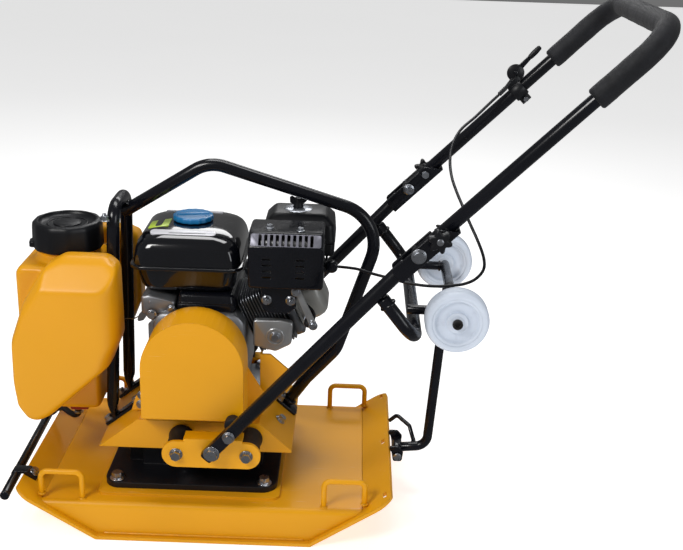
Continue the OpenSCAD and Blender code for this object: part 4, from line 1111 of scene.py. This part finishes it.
def make_cylinder():
    """Local Z of CYL_X runs along the bore, its X along the machine's Y, its Y up across the bore."""
    bm = bmesh.new()
    disc(bm, CYL_X @ lift(88), 42, 72, 1.0, 44)
    for i in range(14):
        h = 90 + 4.75 * i
        fin = rounded(rect(-57.5, 57.5, -55, 49), 13 if i % 2 else 10, 4)
        stack(bm, fin, [(h, 0.9), (h + 0.5, 0), (h + 1.4, 0), (h + 1.8, 0.9)], CYL_X)
    stack(bm, rounded(rect(-53, 53, -51, 45), 9, 4), [(157, 1), (158, 0), (169, 0), (171, 1.4)], CYL_X)
    for i in range(5):
        h = 141 + 3.2 * i
        stack(bm, rounded(rect(-50, 50, 44, 49), 2, 2), [(h, 0), (h + 1.4, 0)], CYL_X)
    piece("cylinder_fins", bm, "fin_alloy", "root", hides=["cylinder"])

    bm = bmesh.new()
    cover = rounded(rect(-46, 46, -41, 24), [12, 12, 16, 16], 6)
    stack(bm, rounded(rect(-46, 46, -42, 24), [12, 12, 14, 14], 6),
        [(171.4, 1.2), (172.4, 0), (176, 0), (176.8, 0.8)], CYL_X)
    stack(bm, cover, [(176.8, 3), (180, 2.6), (202, 3), (212, 5), (218, 9), (221.6, 14), (223, 19)], CYL_X)
    piece("rocker_cover_shell", bm, "grey_enamel", "root", hides=["rocker_cover"])
    bm = bmesh.new()
    for y, z in ((-40, 17), (40, 17), (-40, -35), (40, -35)):
        bolt(bm, CYL_X @ V(y, z, 176.8), CYL_X.to_3x3() @ V(0, 0, 1), 8, 4, spring=False)
    piece("rocker_cover_bolts", bm, "zinc_steel", "root")

    bm = bmesh.new()
    at = basis(CYL @ V(186, -45, -30), CYL.to_3x3() @ V(0, -1, 0))
    lathe(bm, [(0, 0), (8, 0), (8.4, 1), (8.4, 5), (5.4, 6), (5.4, 8), (4.6, 8.6), (5.3, 9.8), (4.5, 11),
        (5.2, 12.2), (4.4, 13.4), (4.4, 17), (0, 17)], at, 30)
    piece("spark_plug_insulator", bm, "white_nylon", "root")
    bm = bmesh.new()
    lathe(bm, [(0, 12), (6.4, 12), (7.2, 13), (7, 20), (7.4, 24), (6.6, 28), (4, 32), (0, 33)], at, 30)
    boot = at @ V(0, 0, 26)
    lead = curve_through([boot, boot + V(8, -4, 10), boot + V(4, 6, 22), boot + V(-30, 60, 26),
        V(96, 100, 322), V(60, 112, 330)], 8)
    sweep(bm, lead, 3.2, 16, 0.6)
    piece("spark_plug_boot", bm, "dark_rubber", "root", hides=["spark_plug"])


def make_crankcase():
    bm = bmesh.new()
    body = rounded(rect(-96, 54, 187, 348), [20, 24, 26, 26], 6)
    stack(bm, body, soft_ends(-74, 106, 4, 4), XZ)
    stack(bm, rounded(rect(-117, 78, -70, 98), 10, 5), [(174, 0.4), (175, 0), (184, 0), (186, 1.6)])
    disc(bm, basis((AXIS_X, -68, CRANK_Z), -Y), 77, 8.4, 2.4, 72)
    for i in range(9):
        a = math.radians(20 + 40 * i)
        disc(bm, basis((AXIS_X + 71 * math.cos(a), -66, CRANK_Z + 71 * math.sin(a)), -Y), 8, 10, 1.0, 24)
    wedge = rounded([(-116, 340), (-61, 340), (-61, 363), (-68, 366), (-104, 373.6), (-116, 370)],
        [4, 2, 5, 10, 8, 5], 4)
    stack(bm, wedge, soft_ends(-61, 91, 3, 3), XZ)
    for y in (-48, -20, 8, 36, 64):
        stack(bm, rounded([(-108, 200), (-92, 190), (-92, 330), (-108, 318)], 4, 3),
            soft_ends(y, y + 5, 1, 0.6), XZ)
    piece("crankcase_casting", bm, "cast_alloy", "root", hides=["crankcase"])

    bm = bmesh.new()
    cover = rounded([(67, 289), (104, 280), (130, 294), (132, 332), (113, 336), (67, 335)],
        [4, 9, 9, 5, 5, 4], 5)
    stack(bm, cover, [(-58.4, 2.6), (-57.8, 1.2), (-56.6, 0.3), (-55.6, 0), (-47, 0)], XZ)
    lathe(bm, [(9, 0), (14.5, 0), (15.2, 0.7), (14.4, 1.5), (12.6, 1.5), (11.8, 0.5), (9, 0.5)],
        basis((103, -58.4, 307), -Y), 40, closed=True)
    strip = rounded([(132, 399), (141.5, 399), (171, 338), (172, 331), (164, 329), (159, 336)],
        [2, 2, 4, 4, 4, 3], 4)
    stack(bm, strip, soft_ends(-72, -68, 0.6, 0.5), XZ)
    piece("muffler_stay_strip", bm, "smooth_alloy", "root", hides=["muffler_stay"])

    bm = bmesh.new()
    bolt(bm, (103, -58.2, 307), -Y, 12, 6, washer=True)
    bolt(bm, (165.5, -72, 334.5), -Y, 10, 5)
    bolt(bm, (136.6, -72, 392), -Y, 10, 5)
    for i in range(9):
        a = math.radians(20 + 40 * i)
        bolt(bm, (AXIS_X + 71 * math.cos(a), -76.2, CRANK_Z + 71 * math.sin(a)), -Y, 8, 0.9, washer=False)
    bolt(bm, (-102, -54, 362), (-0.6, -0.8, 0), 10, 5)
    bolt(bm, (-98, -66, 342), -Y, 11, 5)
    bolt(bm, (-66, -64, 352), -Y, 9, 4)
    piece("crankcase_bolts", bm, "zinc_steel", "root")

    bm = bmesh.new()
    disc(bm, basis((-97, -46, 205), (-1, 0, -0.1)), 9, 10, 1.4, 28)
    for k in range(10):
        a = 2 * math.pi * k / 10
        disc(bm, basis((-100, -46 + 9 * math.cos(a), 205 + 9 * math.sin(a)), (-1, 0, -0.1)), 1.3, 7, 0.3,
            10)
    piece("oil_filler_plug", bm, "black_plastic", "root")


def make_governor():
    bm = bmesh.new()
    arm = rounded([(-128, 318), (-116, 322), (-96, 352), (-104, 356), (-124, 332)], 3, 3)
    stack(bm, arm, [(-44, 0.3), (-42, 0.3)], XZ)
    sweep(bm, curve_through([(-122, -43, 330), (-134, -38, 322), (-150, -30, 318), (-166, -24, 312)], 6),
        1.0, 10, 0.2)
    coil = [V(-118, -48, 352) + V(k * 0.55, 3.4 * math.cos(k * 0.9), 3.4 * math.sin(k * 0.9))
        for k in range(90)]
    sweep(bm, coil, 0.7, 8, 0.1)
    piece("governor_linkage", bm, "machined_steel", "root")


def make_fuel_tank():
    def shell(levels, box):
        bm = bmesh.new()
        x0, x1, y0, y1 = box
        rings = []
        for z, inset, r in levels:
            pts = rounded(rect(x0 + inset, x1 - inset, y0 + inset, y1 - inset), r, 8)
            rings.append(ring(bm, [V(p.x, p.y, z) for p in pts]))
        skin(bm, rings)
        return bm

    box = (-130, 46, -67, 117)
    top = [(423, 0.6, 24), (430, 0.8, 24), (441, 2, 25), (450, 3.8, 26), (457, 6.4, 27), (463, 10, 28),
        (467.6, 14.6, 29), (471.2, 20.5, 30), (474, 28, 31), (476.2, 38, 30), (477.6, 52, 24),
        (478, 66, 14)]
    piece("fuel_tank_upper", shell(top, box), "gloss_black", "root", hides=["fuel_tank"])
    low = [(378.1, 24, 20), (379.4, 18, 24), (382.4, 13.6, 26), (387, 11, 27), (396, 9, 27), (410, 6.4, 26),
        (422, 4.6, 25)]
    piece("fuel_tank_lower", shell(low, box), "gloss_black", "root")
    seam = [(419.4, 1.0, 25), (419.9, 0.2, 26), (421, 0, 26), (423.6, 0, 26), (424.6, 0.3, 26),
        (425, 1.2, 25)]
    piece("fuel_tank_seam", shell(seam, (-134, 50, -71, 121)), "gloss_black", "root")
    bm = bmesh.new()
    lathe(bm, [(18, 0), (26, 0), (26.6, 1), (26, 2.2), (24, 2.6), (23, 5), (19, 5.4), (18, 5)],
        basis((-41, 25, 475), Z), 48, closed=True)
    piece("fuel_filler_neck", bm, "machined_steel", "root")

    bm = bmesh.new()
    at = basis((-41, 25, 479.4), Z)
    outline = []
    n = 96
    for i in range(n):
        a = 2 * math.pi * i / n
        r = 33.2 + 0.7 * math.cos(16 * a)
        outline.append(polar(r, a))
    stack(bm, outline, [(0, 1), (0.8, 0.2), (5.4, 0), (7.4, 0.8), (8.4, 2.6), (8.6, 5)], at)
    lathe(bm, [(27.6, 8.2), (26.6, 7.2), (20, 6.6), (0, 6.6), (0, 5), (27.6, 5)], at, 64)
    turned = at @ spin(math.radians(14))
    stack(bm, rounded(rect(-27.5, 27.5, -5, 5), 4.4, 5), [(6.2, -0.8), (8, 0), (10, 0.6), (10.9, 2.0)],
        turned)
    piece("fuel_cap_shell", bm, "blue_plastic", "fuel_cap", hides=["fuel_cap"], bevel=0.4)

    for name, look, at, outline in (("label_strip_front", "label",
            basis((-49, -36, 473.6), (0, -0.26, 1), X), rounded(rect(-53, 53, -7.2, 7.2), 7, 6)),
            ("label_square", "label_green", basis((-93, 6, 474.6), (-0.18, 0, 1), X),
            rounded(rect(-17, 17, -20, 19), 1.6, 3)), ("label_strip_back", "label",
            basis((-44, 82, 474.8), (0, 0.2, 1), X), rounded(rect(-50, 46, -9, 7), 1.6, 3))):
        bm = bmesh.new()
        stack(bm, outline, [(-3, 0), (0.9, 0), (1.1, 0.3)], at)
        piece(name, bm, look, "root")


def make_air_cleaner():
    bm = bmesh.new()
    base = rounded(rect(77, 195, 5, 101), 8, 5)
    stack(bm, base, [(428, 1.2), (429, 0.2), (431, 0), (447, 0), (448.4, 0.3)])
    lid = rounded(rect(76, 196, 4, 102), [12, 12, 12, 12], 5)
    stack(bm, lid, [(449.2, 0.4), (450, 0), (452, -0.3), (454, 0), (472, 1.4), (480, 2.4), (491, 12),
        (494.6, 16), (496, 21)])
    piece("air_cleaner_case", bm, "black_plastic", "root", hides=["air_cleaner"], bevel=0.6)
    bm = bmesh.new()
    lathe(bm, [(0, 495.4), (23.4, 495.4), (24, 496), (22, 497.2), (14, 498.2), (0, 498.3)],
        basis((132, 52, 0), Z), 56)
    piece("air_cleaner_washer", bm, "zinc_steel", "root")
    bm = bmesh.new()
    at = basis((132, 52, 498.4), Z)
    lathe(bm, [(0, 0), (8.6, 0), (9, 0.6), (8.4, 4), (7, 9), (6.6, 15), (6, 16), (0, 16)], at, 36)
    wing = rounded([(-15, 9), (-15.5, 18), (-12, 20.8), (-6, 17), (6, 17), (12, 20.8), (15.5, 18), (15, 9),
        (6, 3), (-6, 3)], 2, 4)
    stack(bm, wing, soft_ends(-2.6, 2.6, 0.8, 0.8), at @ spin(0.5) @ XZ)
    piece("wing_nut_body", bm, "black_plastic", "wing_nut", hides=["wing_nut"], bevel=0.3)


def make_muffler():
    bm = bmesh.new()
    stack(bm, rounded(rect(72, 164, -76, -10), 12, 5), [(407, 5), (410, 1.2), (414, 0), (440, 0),
        (441, -1.2), (443, -1.2), (444, 0), (472, 0), (477, 1.4), (479, 5)])
    piece("muffler_body", bm, "machined_steel", "root", hides=["muffler"])
    bm = bmesh.new()
    flange = rounded([(80, 398), (137, 398), (137, 362), (124, 351), (92, 351), (80, 362)],
        [3, 3, 8, 8, 8, 8], 4)
    stack(bm, flange, soft_ends(-64, -57, 0.6, 0.4), XZ)
    piece("exhaust_flange", bm, "black_paint", "root")
    bm = bmesh.new()
    for x in (89, 128):
        bolt(bm, (x, -64, 374), -Y, 11, 7, stud=3)
    piece("exhaust_nuts", bm, "zinc_steel", "root")

    body, cut = bmesh.new(), bmesh.new()
    section = rounded([(-86, 400), (-2, 400), (-2, 492), (-66, 492), (-71, 490), (-86, 470)],
        [5, 3, 4, 3, 3, 3], 4)
    stack(body, section, [(60, 4), (62, 1), (65, 0), (175, 0), (178, 1), (180, 4)], YZ)
    inner = rounded([(-84.2, 398), (0, 398), (0, 490), (-66, 490), (-71, 488), (-84.2, 469)], 2, 2)
    stack(cut, inner, soft_ends(62.4, 177.6, 3.6, 2), YZ)
    slope = basis((120, -78.5, 480), (0, -0.8, 0.6), X)
    for i in range(10):
        x = -41 + 9.1 * i
        prism(cut, rounded(rect(x - 2.5, x + 2.5, -9.5, 9.5), 1.6, 3), -5, 5, slope)
    for x in (90, 143):
        for i in range(4):
            z = 420 + 10 * i
            prism(cut, rounded(rect(x - 7, x + 7, z - 1.5, z + 1.5), 1.4, 3), -90, -80, XZ)
    for i in range(7):
        z = 416 + 9 * i
        prism(cut, rounded(rect(-66, -24, z - 1.6, z + 1.6), 1.4, 3), 172, 184, YZ)
    piece("muffler_guard_shell", body, "black_paint", "root", hides=["muffler_guard"], cut=cut, bevel=0.35)
    # A thin grey sheet on the guard's chamfer, with slots cut from it: a painted reflection of the light on
    # the black guard.
    reflection_sheet, gaps = bmesh.new(), bmesh.new()
    stack(reflection_sheet, rounded(rect(-56, 56, -10.6, 10.6), 3, 4), [(-0.2, 0), (0.35, 0.1), (0.6, 0.4)], slope)
    for i in range(10):
        x = -41 + 9.1 * i
        prism(gaps, rounded(rect(x - 2.6, x + 2.6, -9.6, 9.6), 1.6, 3), -5, 5, slope)
    piece("muffler_guard_painted_reflection", reflection_sheet, "painted_reflection_grey", "root", cut=gaps)
    bm = bmesh.new()
    for x, y in ((92, -50), (142, -62)):
        bolt(bm, (x, y, 492), Z, 9, 4)
    piece("muffler_guard_bolts", bm, "zinc_steel", "root")


def make_carburettor():
    bm = bmesh.new()
    stack(bm, rounded(rect(112, 158, 42, 82), 6, 4), [(398, 3), (400, 0.5), (402, 0), (424, 0), (428, 1)])
    lathe(bm, [(0, 0), (15, 0), (15.6, 2), (14, 4), (14, 22), (16, 24), (16, 28), (0, 28)],
        basis((134, 12, 410), Y), 36)
    lathe(bm, [(0, 0), (12, 0), (15, 3), (15.6, 12), (13, 16), (0, 16)], basis((134, 62, 386), Z), 36)
    hexagon(bm, basis((134, 62, 386), -Z), 9, 4)
    piece("carburettor_casting", bm, "cast_alloy", "root")
    bm = bmesh.new()
    stack(bm, rounded(rect(156, 183, 12, 56), 2, 3), [(404, 0), (407, 0.2)])
    stack(bm, rounded(rect(-8, 56, 404, 424), 2, 3), [(181, 0), (184, 0.2)], YZ)
    lathe(bm, [(0, 0), (6, 0), (7, 1), (7, 8), (0, 8)], basis((184, 0, 415), X), 32)
    lathe(bm, [(0, 0), (8.4, 0), (10, 1.6), (10, 12.4), (8.4, 14), (0, 14)], basis((192, -14, 415), Y), 36)
    arm = rounded([(160, 28), (168, 26), (178, 44), (172, 48), (162, 40)], 2, 3)
    stack(bm, arm, [(407.5, 0), (409.5, 0.2)])
    piece("carburettor_bracket", bm, "black_paint", "root", hides=["carburettor"])
    bm = bmesh.new()
    disc(bm, basis((158.2, 76, 408), X), 5, 7.8, 0.6, 24)
    lever = rounded([(70, 378), (82, 378), (82, 392), (79, 418), (73, 418), (70, 392)], [5, 5, 2, 3, 3, 2],
        4)
    stack(bm, lever, soft_ends(162.2, 166, 0.6, 0.4), YZ)
    piece("choke_lever_arm", bm, "black_plastic", "choke_lever", hides=["choke_lever"])
    bm = bmesh.new()
    bolt(bm, (176, 28, 407), Z, 7, 3)
    bolt(bm, (176, 46, 407), Z, 7, 3)
    coil = [V(150, 20, 412) + V(3 * math.cos(k * 0.8), k * 0.32, 3 * math.sin(k * 0.8)) for k in range(90)]
    sweep(bm, coil, 0.6, 8, 0.1)
    piece("carburettor_screws", bm, "zinc_steel", "root")


def make_recoil():
    body, cut = bmesh.new(), bmesh.new()
    at = basis((AXIS_X, 106, CRANK_Z), Y, X)
    lathe(body, [(0, 0), (90, 0), (92, 2), (92, 40), (90.6, 45), (87, 49), (82, 50.4), (67, 50.6), (66, 52),
        (66, 58), (64.6, 61), (62, 62.2), (49, 62.4), (48, 63.4), (48, 66), (46.6, 67.2), (0, 67.2)], at,
        96)
    for i in range(20):
        a = math.radians(18 * i)
        prism(cut, rounded(rect(70, 84, -3.2, 3.2), 2.4, 3), 47, 56, at @ spin(a))
    for i in range(12):
        a = math.radians(30 * i + 8)
        prism(cut, rounded(rect(52, 61, -4, 4), 2.4, 3), 59, 66, at @ spin(a))
    piece("recoil_cover_shell", body, "black_paint", "root", hides=["recoil_cover"], cut=cut, bevel=0.3)
    bm = bmesh.new()
    stack(bm, rounded(rect(-58, 38, -64, 110), 9, 5), [(350, 0.4), (351, 0), (360, 0), (361, 1.2), (374, 3),
        (376.4, 5), (377.8, 9)])
    stack(bm, rounded(rect(-52, 34, -63.9, -58), 2, 3), [(362, 0), (364, 0.2)])
    piece("blower_shroud", bm, "black_paint", "root", bevel=0.3)
    # Dark plates at the bottom of the cover's slots: painted shade in the slot depths.
    bm = bmesh.new()
    for i in range(20):
        a = math.radians(18 * i)
        prism(bm, rounded(rect(69, 85, -4, 4), 2.4, 3), 46.2, 46.8, at @ spin(a))
    for i in range(12):
        a = math.radians(30 * i + 8)
        prism(bm, rounded(rect(51, 62, -5, 5), 2.4, 3), 58.2, 58.8, at @ spin(a))
    piece("recoil_slot_shade", bm, "painted_hole_shade", "root")
    bm = bmesh.new()
    for i in range(3):
        a = math.radians(120 * i + 40)
        bolt(bm, at @ polar(58, a, 62.3), Y, 8, 3.4)
    for a in (30, 150, 215, 325):
        a = math.radians(a)
        bolt(bm, at @ polar(88, a, 46), Y, 8, 3)
    bolt(bm, at @ V(0, 0, 67.2), Y, 9, 1.6, washer=False)
    piece("recoil_cover_bolts", bm, "zinc_steel", "root")
    pull = V(0, 0.8, 0.6)
    p0 = V(32, 150, 334)
    bm = bmesh.new()
    lathe(bm, [(0, -4), (9.4, -4), (9.4, 4), (8, 8), (8, 12.4), (7, 14), (2.8, 14), (2.8, 8), (0, 8)],
        basis(p0, pull), 32)
    stack(bm, rounded(rect(-128, -104, 112, 146), 3, 4), soft_ends(252, 294, 2, 2))
    stack(bm, rounded(rect(-112, -92, 112, 122), 2, 3), [(258, 0), (288, 0)])
    piece("recoil_rope_guide", bm, "black_plastic", "root")

    bm = bmesh.new()
    lathe(bm, [(2.4, 14.5), (4.6, 14.5), (5.2, 16), (5.4, 22), (7.4, 27), (7.4, 31), (2.4, 31)],
        basis(p0, pull), 28, closed=True)

    def bar(s, total):
        k = 0.84 + 0.16 * abs(2 * s / total - 1) ** 1.6
        return 8.4 * k, 7.6 * k, 2.3

    c = p0 + pull * 31
    sweep(bm, resample([c - X * 25, c + X * 25], 3), 8, 28, 2.4, bar)
    piece("recoil_grip", bm, "black_plastic", "recoil_handle", hides=["recoil_handle"])
    bm = bmesh.new()
    sweep(bm, resample([p0 - pull * 2, p0 + pull * 30], 1.5), 2.0, 14, 0.2)
    rope = piece("recoil_rope", bm, "label", None)
    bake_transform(rope)

    bm = bmesh.new()
    at = basis((-128.3, 129, 273), -X, Y)
    lathe(bm, [(0, 0), (10.4, 0), (11, 0.6), (11, 5.6), (10, 6.8), (0, 6.8)], at, 36)
    stack(bm, rounded(rect(-3, 3, -10, 10), 2.4, 4), [(6.2, 0), (11, 0.2), (12.6, 1)], at @ spin(math.pi))
    piece("engine_switch_knob", bm, "red_plastic", "engine_switch", hides=["engine_switch"])


def make_drive():
    """The parts behind the belt guard, seen from below and behind."""
    bm = bmesh.new()
    bolts = bmesh.new()
    for x, z in ((-118, 186), (-116, 203), (78, 190)):
        bolt(bolts, (x, -80, z), -Y, 10, 5)
    for x in (-84, 40):
        bolt(bolts, (x, -100, 174), Z, 9, 4)
    piece("belt_guard_bolts", bolts, "zinc_steel", "root")
    block(bm, (-128, -80.5, 176), (-104, -77.5, 178.5))
    piece("belt_guard_tab", bm, "yellow_paint", "root", bevel=0.4)


make_cylinder()
make_crankcase()
make_governor()
make_fuel_tank()
make_air_cleaner()
make_muffler()
make_carburettor()
make_recoil()
make_drive()


# ---------------------------------------------------------------- floor and light

def area(name, at, to, size, power, colour=(1, 1, 1)):
    data = bpy.data.lights.new(name, "AREA")
    data.shape = "RECTANGLE"
    data.size, data.size_y = size
    data.energy = power
    data.color = colour
    lamp = bpy.data.objects.new(name, data)
    scene.collection.objects.link(lamp)
    lamp.location = at
    lamp.rotation_euler = (Vector(to) - Vector(at)).to_track_quat("-Z", "Y").to_euler()


def make_studio():
    bm = bmesh.new()
    bmesh.ops.create_grid(bm, x_segments=2, y_segments=2, size=9000)
    floor = to_object("studio_floor", bm)
    g = Graph("studio_floor")
    tone = g.mix(g.ramp(g.noise(0.8, 3), 0.3, 0.7), (0.76, 0.76, 0.76), (0.8, 0.8, 0.8))
    g.link(tone, g.shader.inputs["Base Color"])
    g.link(g.ramp(g.noise(3, 2), 0.3, 0.7, 0.6, 0.75), g.shader.inputs["Roughness"])
    g.shader.inputs["Emission Color"].default_value = (1, 1, 1, 1)
    g.shader.inputs["Emission Strength"].default_value = 0.62
    g.shader.inputs["Specular IOR Level"].default_value = 0.1
    floor.data.materials.append(g.mat)
    floor.visible_glossy = False
    world = bpy.data.worlds.new("studio")
    scene.world = world
    world.use_nodes = True
    sky = world.node_tree.nodes["Background"]
    sky.inputs["Color"].default_value = (1.0, 1.0, 1.0, 1)
    sky.inputs["Strength"].default_value = 0.16
    area("key", (-1.5, -2.1, 2.4), (0, 0, 0.3), (1.2, 0.9), 58, (1, 0.985, 0.96))
    area("fill", (2.3, -1.7, 1.2), (0.1, 0, 0.3), (1.0, 1.4), 15, (0.94, 0.97, 1))
    area("top", (0.1, 0.4, 2.5), (0, 0, 0.2), (1.6, 0.7), 26)
    area("back", (0.2, 2.2, 1.9), (0, 0, 0.4), (1.6, 0.6), 14)
    scene.view_settings.view_transform = "Standard"


make_studio()
